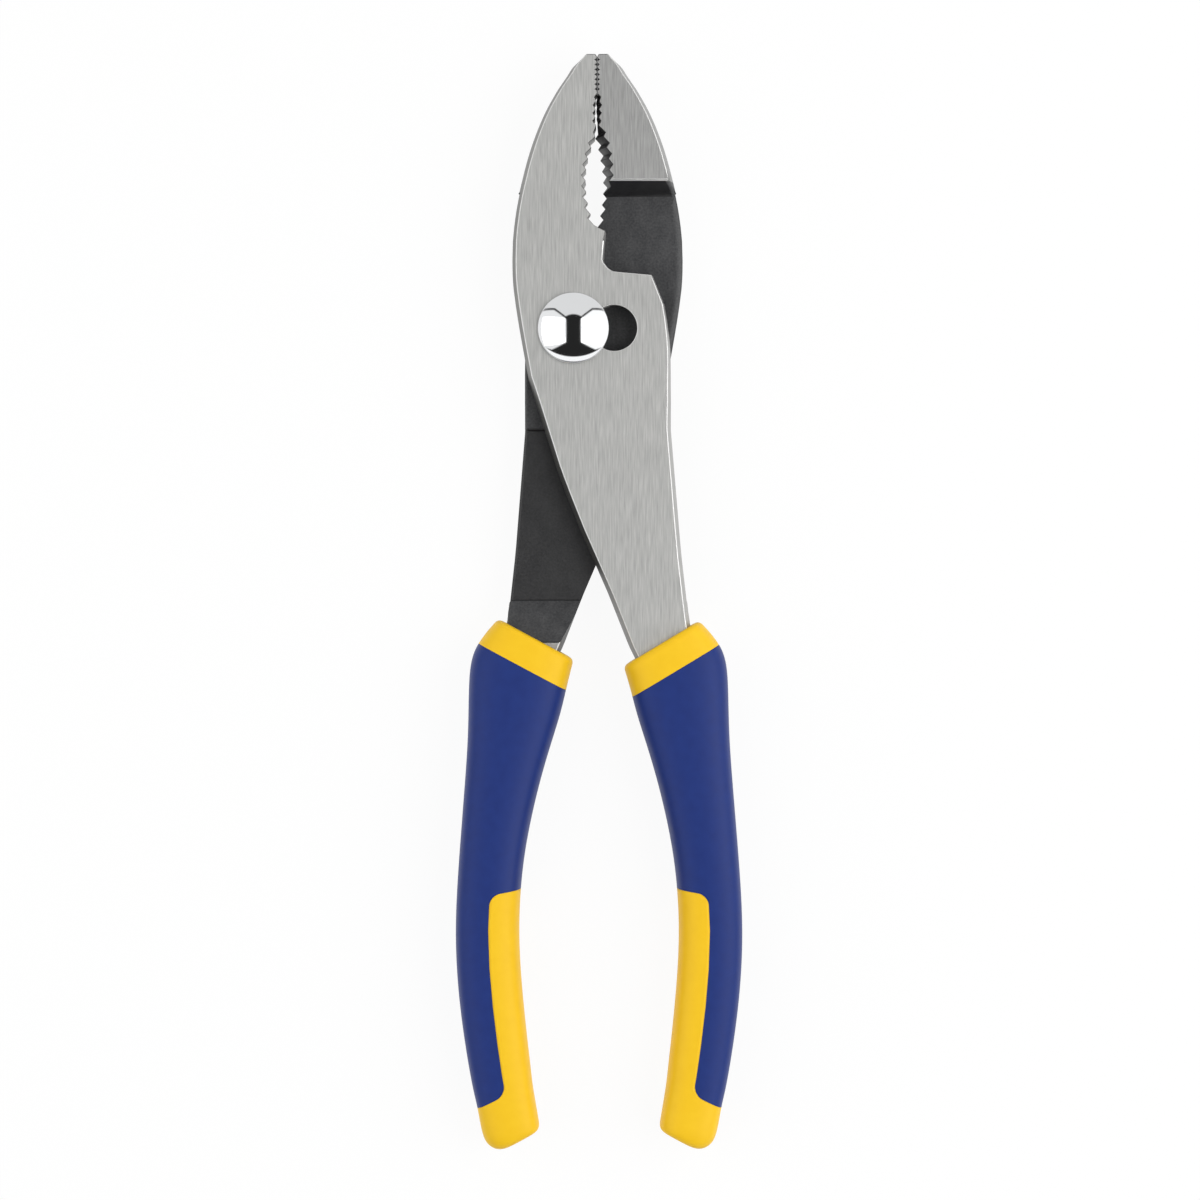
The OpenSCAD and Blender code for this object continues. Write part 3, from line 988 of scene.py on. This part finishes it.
def bolt_head():
    """The dome with its thin rim."""
    cap_h = DOME_TOP - HEAD_Z - RIM_H
    ball_r = (DOME_R**2 + cap_h**2) / (2 * cap_h)
    bpy.ops.object.select_all(action="DESELECT")
    bpy.ops.mesh.primitive_uv_sphere_add(
        segments=DOME_RINGS,
        ring_count=DOME_RINGS,
        radius=ball_r,
        location=(PIVOT.x, PIVOT.y, DOME_TOP - ball_r),
    )
    head = bpy.context.object
    head.name = "bolt"
    edit(head)
    bpy.ops.mesh.bisect(
        plane_co=(PIVOT.x, PIVOT.y, DOME_TOP - cap_h), plane_no=(0, 0, 1), clear_inner=True, use_fill=True
    )
    pick("FACE", lambda face: face.normal.z < UNDERSIDE)
    bpy.ops.mesh.extrude_region_move(TRANSFORM_OT_translate={"value": (0, 0, -RIM_H)})
    pick("EDGE", sharp)
    bevel(RIM_EDGE, segments=3)
    settle(head)
    return head


def flatted_shank():
    """The part of the shank in the slot, with a flat cut on both sides."""
    shank = rod("flatted", SHANK_R, LAP_Z, HEAD_Z + RIM_H / 2)
    edit(shank)
    for turn in (-1, 1):
        bpy.ops.mesh.select_all(action="SELECT")
        bpy.ops.mesh.bisect(
            plane_co=(PIVOT.x, PIVOT.y + turn * FLAT_W / 2, 0),
            plane_no=(0, turn, 0),
            clear_outer=True,
            use_fill=True,
        )
    settle(shank)
    return shank


def thread_end():
    """The end that the nut sits on, with a broken edge and a turned dimple."""
    thread = rod("thread", THREAD_R, THREAD_END, LAP_Z)
    edit(thread)
    pick("EDGE", lambda edge: sharp(edge) and middle(edge).z < 0)
    bevel(THREAD_EDGE, segments=2)
    pick("FACE", lambda face: face.normal.z < -UPRIGHT)
    bpy.ops.mesh.inset(thickness=THREAD_R * DIMPLE_SHARE)
    bpy.ops.mesh.extrude_region_move(TRANSFORM_OT_translate={"value": (0, 0, DIMPLE_D)})
    bpy.ops.transform.resize(value=(DIMPLE_SHARE, DIMPLE_SHARE, 1))
    settle(thread)
    return thread


bolt = bolt_head()
flatted = flatted_shank()
shank = rod("shank", SHANK_R, NUT_H + PLAY, LAP_Z)
settle(shank)
for part in (flatted, shank, thread_end()):
    apply(bolt, "BOOLEAN", operation="UNION", object=part)
    discard(part)
smooth(bolt)
bolt.data.materials.append(FINISHES["chrome"])
print("bolt faces:", len(bolt.data.polygons))

# %% [markdown]
# ## The nut
# The nut is cut from hexagonal bar on a lathe, which breaks its six corners with a cone. Bevelled corners
# would be straight. The cut by a real cone leaves the curved edges of a true nut.

# %% Nut
CHAMFER = 0.25 * MM
NUT_EDGE = 0.12 * MM
NUT_MERGE = 0.005 * MM
NUT_SHARP = 50
HEXAGON = 6


def pivot_nut():
    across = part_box("pivot_nut")[1].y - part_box("pivot_nut")[0].y
    nut = rod("nut", across / math.sqrt(3), 0, NUT_H, HEXAGON)
    edit(nut)
    bpy.ops.transform.rotate(
        value=math.pi / HEXAGON, orient_axis="Z", center_override=(PIVOT.x, PIVOT.y, 0)
    )
    settle(nut)
    bpy.ops.object.select_all(action="DESELECT")
    bpy.ops.mesh.primitive_cone_add(
        vertices=ROD_SIDES,
        radius1=across / 2 - CHAMFER,
        radius2=across / 2 - CHAMFER + NUT_H,
        depth=NUT_H,
        location=(PIVOT.x, PIVOT.y, NUT_H / 2),
    )
    cone = bpy.context.object
    settle(cone)
    apply(nut, "BOOLEAN", operation="INTERSECT", object=cone)
    hole = rod("hole", THREAD_R + PLAY, -NUT_H, 2 * NUT_H)
    settle(hole)
    apply(nut, "BOOLEAN", operation="DIFFERENCE", object=hole)
    discard(cone, hole)
    edit(nut)
    bpy.ops.mesh.remove_doubles(threshold=NUT_MERGE)
    bpy.ops.mesh.fill_holes(sides=0)
    pick("EDGE", lambda edge: sharp(edge, NUT_SHARP))
    bevel(NUT_EDGE, segments=2)
    smooth(nut)
    nut.data.materials.append(FINISHES["zinc"])
    return nut


nut = pivot_nut()
print("nut size in mm:", [round(x / MM, 2) for x in nut.dimensions])

# %% [markdown]
# ## Grips
# A grip is moulded in two shots. A yellow sleeve holds the steel, and a blue cover is moulded into a
# shallow pocket around it, flush with the yellow that stays bare at the collar, the inner panel and the
# end. Two separate forms would never lie flush, so both shots share one smooth outer form. It is a row of
# rounded sections bridged into a tube and subdivided, and it is then cut along the cover's outline.

# %% Stations of a grip
GRIP_TOP = -4.7 * MM
GRIP_L = GRIP_TOP - cad_box[0].y
SPREAD = cad_box[1].x
GRIP_W = 14.8 * MM
GRIP_T = 18 * MM
# Outer x over SPREAD, outer y over GRIP_L, width over GRIP_W, inner y over GRIP_L, thickness over GRIP_T
LEFT_SHARES = [
    (0.724, 0.0045, 1.223, 0.084, 0.95),
    (0.832, 0.041, 1.370, 0.131, 0.99),
    (0.898, 0.093, 1.405, 0.187, 1.00),
    (0.908, 0.224, 1.145, 0.297, 1.00),
    (0.959, 0.404, 0.993, 0.444, 1.00),
    (1.000, 0.584, 1.000, 0.588, 0.98),
    (0.968, 0.735, 0.995, 0.723, 0.94),
    (0.893, 0.870, 0.935, 0.845, 0.90),
    (0.852, 0.920, 0.872, 0.878, 0.88),
    (0.825, 0.961, 0.847, 0.906, 0.87),
]
# The right collar stands a little lower
RIGHT_SHARES = [
    (0.728, 0.0085, 1.223, 0.097, 0.95),
    (0.834, 0.043, 1.370, 0.136, 0.99),
    *LEFT_SHARES[2:],
]
LAST = len(LEFT_SHARES) - 1


def between(shares, u):
    """The shares at place u, counted in stations, on a smooth curve through all of them."""
    i = min(int(u), LAST - 1)
    t = u - i
    rows = (shares[max(0, min(LAST, i + k))] for k in (-1, 0, 1, 2))
    smoothed = []
    for p, q, r, s in zip(*rows):
        bend = p - 2.5 * q + 2 * r - s / 2
        twist = 1.5 * q - p / 2 - 1.5 * r + s / 2
        smoothed.append(q + (r - p) * t / 2 + bend * t**2 + twist * t**3)
    return smoothed


def section(shares, u, inset=0.0):
    """Centre, direction across, half width and half thickness of a grip on the right at place u."""
    out_x, out_y, width, in_y, thick = between(shares, u)
    outer = Vector((out_x * SPREAD, GRIP_TOP - out_y * GRIP_L, LAP_Z))
    inner = Vector((out_x * SPREAD - width * GRIP_W, GRIP_TOP - in_y * GRIP_L, LAP_Z))
    across = outer - inner
    return (outer + inner) / 2, across.normalized(), across.length / 2 - inset, thick * GRIP_T / 2 - inset


def along(across):
    """The direction towards the tip of the tool, square to a section."""
    return Vector((-across.y, across.x, 0))


print("grip length in mm:", round(GRIP_L / MM, 1), "stations:", len(LEFT_SHARES))

# %% [markdown]
# ## Rings
# Cut across, a grip is a rounded rectangle at every place, slanted at the collar and rounded off at both
# ends. A curve with a bevel would keep one section all along. Separate rings can each have their own
# width, thickness and slant, which is what a hand feels on the real grip.

# %% Rings of the outer form
# A subdivided ring ends up a little inside its corner points, so the rings start this much larger
CAGE = 1 / 0.985
# How much of a ring's side a cut corner takes, in per cent
CORNER_CUT = 17.85
TOP_ROUND = 1.4 * MM
# Rings of the rounded top: height and inset, both over TOP_ROUND
TOP_RINGS = ((1.0, 1.0), (0.85, 0.4), (0.3, 0.05))
END_L = 7.4 * MM
# Rings of the rounded end: depth over END_L, then in mm the inset outside, inside and in thickness
END_RINGS = [
    (0.37, 0.2, 0.0, 0.0),
    (0.63, 0.95, 0.0, 0.05),
    (0.84, 2.3, 0.0, 0.3),
    (0.955, 3.7, 0.2, 1.0),
    (1.0, 5.2, 0.8, 1.9),
]


def add_section(centre, across, half_w, half_t):
    """In edit mode, adds one flat section: a rectangle with its corners cut off."""
    up = Vector((0, 0, 1))
    turn = Matrix((across, up, across.cross(up))).transposed()
    bpy.ops.mesh.select_all(action="DESELECT")
    bpy.ops.mesh.primitive_plane_add(size=2, location=centre, rotation=turn.to_euler())
    bpy.ops.transform.resize(
        value=(half_w * CAGE, half_t * CAGE, 1),
        orient_type="GLOBAL",
        orient_matrix=turn,
        orient_matrix_type="GLOBAL",
        center_override=centre,
    )
    bpy.ops.mesh.bevel(affect="VERTICES", offset_type="PERCENT", offset_pct=CORNER_CUT)


def ring_rows(shares, inset):
    """The sections of a whole grip from top to end, as add_section takes them."""
    rows = []
    for high, back in TOP_RINGS:
        centre, across, half_w, half_t = section(shares, 0, inset + back * TOP_ROUND)
        rows.append((centre + along(across) * high * TOP_ROUND, across, half_w, half_t))
    rows += [section(shares, i / 2, inset) for i in range(2 * LAST + 1)]
    centre, across, half_w, half_t = section(shares, LAST, inset)
    down = (centre - section(shares, LAST - 1, inset)[0]).normalized()
    for depth, outside, inside, thin in END_RINGS:
        ring_centre = centre + down * depth * (END_L - inset) + across * (inside - outside) * MM / 2
        rows.append((ring_centre, across, half_w - (inside + outside) * MM / 2, half_t - thin * MM))
    return rows


print("rings of a grip:", len(ring_rows(LEFT_SHARES, 0)))

# %% [markdown]
# ## From rings to a skin
# The moulded skin is smooth, with no facets even in a glancing light. Many more rings would do that, but
# they would be hard to change. A few rings, bridged and then subdivided, give the same skin from a cage
# that can still be read. The capped ends get one inset ring, so that they stay round.

# %% Bridge and subdivide the outer form
CAP_INSET = 1.2 * MM
QUAD = 4


def grip_form(name, shares, inset, levels=3):
    """The whole outer form of a grip on the right, shrunk by inset all round."""
    bpy.ops.object.select_all(action="DESELECT")
    bpy.ops.mesh.primitive_plane_add(size=MM)
    form = bpy.context.object
    form.name = name
    edit(form)
    bpy.ops.mesh.delete(type="VERT")
    for row in ring_rows(shares, inset):
        add_section(*row)
    bpy.ops.mesh.select_all(action="SELECT")
    bpy.ops.mesh.delete(type="ONLY_FACE")
    bpy.ops.mesh.select_all(action="SELECT")
    bpy.ops.mesh.bridge_edge_loops()
    bpy.ops.mesh.select_all(action="SELECT")
    bpy.ops.mesh.fill_holes(sides=0)
    pick("FACE", lambda face: len(face.verts) > QUAD)
    bpy.ops.mesh.inset(thickness=CAP_INSET, use_individual=True)
    bpy.ops.mesh.select_all(action="SELECT")
    bpy.ops.mesh.normals_make_consistent(inside=False)
    bpy.ops.object.mode_set(mode="OBJECT")
    apply(form, "SUBSURF", levels=levels, render_levels=levels)
    bpy.ops.object.shade_smooth()
    return form


print("inset of the end caps in mm:", round(CAP_INSET / MM, 2))

# %% [markdown]
# ## Outline of the cover
# Seen from above, the blue cover starts below the slanted collar, leaves the inner panel free, and stops
# on a slant before the end. Its outline is walked by one extruded vertex, filled and raised to a prism.
# A prism cuts front and back alike, as the mould's parting does.

# %% The cover's prism
COLLAR_W = 5.8 * MM
PANEL_Y = GRIP_TOP - 63.45 * MM
PANEL_SLOPE = math.tan(math.radians(10))
PANEL_SHARE = 0.53
PANEL_R = 2.4 * MM
# The stretch of the grip that the panel's edge is taken from, in half stations
PANEL_HALF_STATIONS = range(8, 18)
END_Y = GRIP_TOP - 109.7 * MM
END_SLOPE = math.tan(math.radians(27))


def walk(name, points, low, high):
    """A prism: one vertex is extruded from point to point, the outline filled, and raised."""
    bpy.ops.object.select_all(action="DESELECT")
    bpy.ops.mesh.primitive_plane_add(size=MM, location=(*points[0], low))
    prism = bpy.context.object
    prism.name = name
    edit(prism)
    bpy.ops.mesh.merge(type="CENTER")
    for a, b in zip(points, points[1:]):
        bpy.ops.mesh.extrude_region_move(
            TRANSFORM_OT_translate={"value": (b[0] - a[0], b[1] - a[1], 0)}
        )
    bpy.ops.mesh.select_all(action="SELECT")
    bpy.ops.mesh.edge_face_add()
    bpy.ops.mesh.extrude_region_move(TRANSFORM_OT_translate={"value": (0, 0, high - low)})
    bpy.ops.mesh.select_all(action="SELECT")
    bpy.ops.mesh.normals_make_consistent(inside=False)
    settle(prism)
    return prism


def at_height(line, y):
    """The point at height y on a line of points that runs down."""
    for a, b in zip(line, line[1:]):
        if a.y >= y >= b.y:
            return a.lerp(b, (a.y - y) / (a.y - b.y))


def panel_edge(shares, shrink):
    """The line between the cover and the inner panel, from top to end."""
    edge = []
    for half_station in PANEL_HALF_STATIONS:
        centre, across, half_w, _ = section(shares, half_station / 2)
        edge.append(centre + across * (half_w * (1 - 2 * PANEL_SHARE) + shrink))
    return edge


def cover_zone(name, shares, shrink):
    """The space that the blue cover fills, seen from above, through the whole grip."""
    centre, across, _, _ = section(shares, 0)
    line = centre - along(across) * (COLLAR_W + shrink)
    right = line + across * SPREAD
    left = line - across * SPREAD
    edge = panel_edge(shares, shrink)
    top_in = at_height(edge, PANEL_Y + shrink)
    top_out = Vector((left.x, top_in.y + (top_in.x - left.x) * PANEL_SLOPE, 0))
    end_in = at_height(edge, END_Y + shrink)
    end_out = end_in + Vector((SPREAD, -SPREAD * END_SLOPE, 0))
    rail = [p for p in edge if end_in.y + 2 * PANEL_R < p.y < top_in.y - 2 * PANEL_R]
    points = [right, left, top_out, top_in, *rail, end_in, end_out]
    zone = walk(name, [(p.x, p.y) for p in points], LAP_Z - GRIP_T, LAP_Z + GRIP_T)
    corners = [top_in.to_2d(), end_in.to_2d()]
    edit(zone)
    pick(
        "EDGE",
        lambda e: abs(e.verts[0].co.z - e.verts[1].co.z) > GRIP_T
        and min((middle(e).to_2d() - corner).length for corner in corners) < TOUCH,
    )
    bevel(PANEL_R, segments=8)
    bpy.ops.object.mode_set(mode="OBJECT")
    return zone


print("panel length in mm:", round((PANEL_Y - END_Y) / MM, 1))

# %% [markdown]
# ## Two shots from one form
# The cover is the form inside the prism, less a smaller copy of the form. The sleeve is the same form
# less that shell, and less the steel with a little clearance, so that it is hollow as a moulded sleeve
# is. Booleans do all of this with the surfaces that are already there, so the seam stays flush.

# %% Cut the two shots apart
COVER_T = 1.7 * MM
SEAM = 0.05 * MM
CLEARANCE = 0.1 * MM
GRIP_SMOOTH = 40


def fat_steel():
    """The right handle's steel with a little clearance, to cut the sleeve's hollow."""
    steel = merged_copy("slotted_half", "fat_steel")
    edit(steel)
    straighten_ramp(-1)
    bpy.ops.mesh.select_all(action="SELECT")
    bpy.ops.mesh.bisect(plane_co=(0, 0, 0), plane_no=(0, 1, 0), clear_outer=True, use_fill=True)
    bpy.ops.mesh.select_all(action="SELECT")
    bpy.ops.transform.shrink_fatten(value=CLEARANCE, use_even_offset=True)
    bpy.ops.object.mode_set(mode="OBJECT")
    return steel


def grip(side, shares):
    """The yellow sleeve and the blue cover of a grip, both still on the right."""
    cover = grip_form(side + "_cover", shares, 0)
    only(cover)
    bpy.ops.object.duplicate()
    sleeve = bpy.context.object
    sleeve.name = side + "_sleeve"
    inner_form = grip_form("inner_form", shares, COVER_T, levels=2)
    zone = cover_zone("zone", shares, 0.0)
    zone_in = cover_zone("zone_in", shares, SEAM)
    apply(cover, "BOOLEAN", operation="INTERSECT", object=zone_in)
    apply(cover, "BOOLEAN", operation="DIFFERENCE", object=inner_form)
    apply(zone, "BOOLEAN", operation="DIFFERENCE", object=inner_form)
    apply(sleeve, "BOOLEAN", operation="DIFFERENCE", object=zone)
    steel = fat_steel()
    apply(sleeve, "BOOLEAN", operation="DIFFERENCE", object=steel)
    discard(zone, zone_in, inner_form, steel)
    for piece, finish in ((cover, "blue"), (sleeve, "yellow")):
        piece.data.materials.clear()
        piece.data.materials.append(FINISHES[finish])
        smooth(piece, GRIP_SMOOTH)
    return sleeve, cover


right_sleeve, right_cover = grip("right", RIGHT_SHARES)
print("sleeve faces:", len(right_sleeve.data.polygons), "cover faces:", len(right_cover.data.polygons))

# %% [markdown]
# ## The left grip
# The left grip is the right one turned over about the long axis of the tool, as the two forgings are, with
# its collar a little higher. A mirror would turn its faces inside out. A half turn doesn't.

# %% The left grip is built on the right and turned over
def turn_over(piece):
    """Turns a piece half round about the tool's long axis."""
    edit(piece)
    bpy.ops.transform.rotate(value=math.pi, orient_axis="Y", center_override=(0, 0, LAP_Z))
    bpy.ops.object.mode_set(mode="OBJECT")


left_sleeve, left_cover = grip("left", LEFT_SHARES)
turn_over(left_sleeve)
turn_over(left_cover)
print("left grip from x =", round(min(v.co.x for v in left_sleeve.data.vertices) / MM, 2), "mm")

# %% [markdown]
# ## Tie the pieces to the bodies
# Each new piece rides on the body that carries it, and takes the place of the plain solid there, which is
# hidden. One table keeps each piece with its body, its solid and the name of its finish slot.

# %% Ride and replace
PLACES = [
    (slotted, "slotted_side", "slotted_half", "polished_steel"),
    (pinned, "pinned_side", "pinned_half", "black_steel"),
    (bolt, "pivot", "pivot_bolt", "bolt_chrome"),
    (nut, "pivot", "pivot_nut", "nut_steel"),
    (right_sleeve, "slotted_side", "right_grip_sleeve", "yellow_grip"),
    (right_cover, "slotted_side", "right_grip_cover", "blue_grip"),
    (left_sleeve, "pinned_side", "left_grip_sleeve", "yellow_grip"),
    (left_cover, "pinned_side", "left_grip_cover", "blue_grip"),
]
for piece, body, node, slot in PLACES:
    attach(piece, body)
    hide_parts(node)
    print(piece.name, "rides on", body)

# %% [markdown]
# ## Table
# The tool lies on a pale table. A white background by stronger lamps would burn out the steel, so the
# table keeps its own colour for light that falls on the tool, and glows white only where the camera or
# a reflection sees it. A small share of the plain colour stays in, so that the tool's shadow shows.

# %% Table
# In metres, so wide that its edge isn't seen
TABLE_SIZE = 30
TABLE_GREY = 0.86
GLOW_SHARE = 0.93
bpy.ops.object.select_all(action="DESELECT")
bpy.ops.mesh.primitive_plane_add(size=TABLE_SIZE, location=(0, 0, cad_box[0].z))
table = bpy.context.object
table.name = "table"
table_white, start = new_material("table_white")
seen = start.make("ShaderNodeLightPath", out="Is Camera Ray")
for ray in ("Is Glossy Ray", "Is Transmission Ray"):
    seen = seen.math("MAXIMUM", seen, start.make("ShaderNodeLightPath", out=ray))
plain = start.make("ShaderNodeBsdfDiffuse", (), {"Color": (TABLE_GREY, TABLE_GREY, TABLE_GREY, 1)})
white = start.make("ShaderNodeEmission", (), {"Color": (1, 1, 1, 1), "Strength": 1.0})
surface(start, start.make("ShaderNodeMixShader", (), {0: seen * GLOW_SHARE, 1: plain, 2: white}))
table.data.materials.append(table_white)
print("table at height in mm:", round(table.location.z / MM, 2))

# %% [markdown]
# ## Lamps
# Two soft lamps stand left and right of the tool, the right one about twice as bright, so that every
# round has a light and a dim side. Small lamps would give hard shadows and hot spots. Wide ones reflect in
# the dome and along the rubber as long soft shapes.

# %% Lamps
# Distance in metres, then height above the table, width and height of a lamp in degrees as the tool sees it
LAMP_AWAY = 0.9
LAMP_LIFT = 48
LAMP_WIDTH = 52
LAMP_HEIGHT = 50
RIGHT_SIDE = 0
LEFT_SIDE = 180
RIGHT_GLOW = 1.9
LEFT_GLOW = 0.9


def softbox(name, side, radiance):
    """A soft lamp that faces the tool. side is its direction in degrees, 0 to the right."""
    a, e = math.radians(side), math.radians(LAMP_LIFT)
    place = Vector((math.cos(a) * math.cos(e), math.sin(a) * math.cos(e), math.sin(e))) * LAMP_AWAY
    turn = place.to_track_quat("Z", "Y").to_euler()
    bpy.ops.object.light_add(type="AREA", location=place, rotation=turn)
    lamp = bpy.context.object
    lamp.name = name
    lamp.data.shape = "RECTANGLE"
    lamp.data.size = 2 * LAMP_AWAY * math.tan(math.radians(LAMP_WIDTH / 2))
    lamp.data.size_y = 2 * LAMP_AWAY * math.tan(math.radians(LAMP_HEIGHT / 2))
    lamp.data.energy = radiance * math.pi * lamp.data.size * lamp.data.size_y
    print(name, "power in watts:", round(lamp.data.energy, 2))


softbox("right_softbox", RIGHT_SIDE, RIGHT_GLOW)
softbox("left_softbox", LEFT_SIDE, LEFT_GLOW)

# %% [markdown]
# ## Room
# A picture of bright metal is a picture of its surroundings. Around this tool stand pale low walls, a
# large card on each side with a dark gap between them overhead, a card beyond the jaws, and a bright strip
# near the viewer. Planes of card would do the same, but they would show in views from the side. Painted
# in the world by the direction of each ray, they stay out of the way.

# %% Room around the tool
# Low height, high height, and the glow at each
WALL_FADE = (0.10, 0.40, 0.7, 0.02)
# Each card ends at two slanted planes: how much of the direction aside and upwards they take
FAR_PLANES = ((0.895, 0.161), (0.479, 0.598))
NEAR_PLANES = ((0.725, 0.339), (0.28, 0.966))
CARD_EDGE = (0.0, 0.06)
OVERHEAD_GAP = (0.22, 0.28)
LEFT_DIMMER = (-0.1, 0.1, 0.8, 1.0)
FAR_CARD_EDGE = (-0.03, -0.07)
FAR_SIDE = (0.0, 0.01)
FAR_CARD_TOP = (0.86, 0.88, 1.0, 0.0)
STRIP_LOW = 0.38
STRIP_HIGH = 0.62
STRIP_EDGE = 0.03
SIDE_GLOW = 1.15
FAR_GLOW = 0.8
STRIP_GLOW = 1.1

world = bpy.data.worlds.new("studio")
bpy.context.scene.world = world
world.use_nodes = True
world.node_tree.nodes.clear()
start = Socket(world.node_tree)
direction = start.make("ShaderNodeTexCoord", out="Generated")
east, north, height = (start.make("ShaderNodeSeparateXYZ", (), {0: direction}, out=axis) for axis in "XYZ")


def fade(value, low, high, at_low=0.0, at_high=1.0):
    """A value mapped from low..high to at_low..at_high, and held outside that range."""
    ends = {"Value": value, "From Min": low, "From Max": high, "To Min": at_low, "To Max": at_high}
    return start.make("ShaderNodeMapRange", (), ends)


def brighter(*glows):
    """The brightest of some glows."""
    most = glows[0]
    for glow in glows[1:]:
        most = start.math("MAXIMUM", most, glow)
    return most


aside = start.math("ABSOLUTE", east)
far_edge = start.math("MINIMUM", *(aside * a + height * b for a, b in FAR_PLANES)) - north
near_edge = start.math("MINIMUM", *(aside * a + height * b for a, b in NEAR_PLANES)) + north
inside = start.math("MINIMUM", far_edge, near_edge)
walls = fade(height, *WALL_FADE)
side_cards = fade(inside, *CARD_EDGE) * fade(aside, *OVERHEAD_GAP) * fade(east, *LEFT_DIMMER)
far_card = fade(far_edge, *FAR_CARD_EDGE) * fade(north, *FAR_SIDE) * fade(height, *FAR_CARD_TOP)
above_strip = fade(height + north * STRIP_LOW, 0.0, STRIP_EDGE)
below_strip = fade(height + north * STRIP_HIGH, STRIP_EDGE, 0.0)
near_strip = above_strip * below_strip
glow = brighter(walls, near_strip * STRIP_GLOW, side_cards * SIDE_GLOW, far_card * FAR_GLOW)
background = start.make("ShaderNodeBackground", (), {"Color": (1, 1, 1, 1), "Strength": glow})
start.make("ShaderNodeOutputWorld", (), {"Surface": background})
bpy.context.scene.view_settings.view_transform = "Standard"
print("nodes in the world:", len(world.node_tree.nodes))
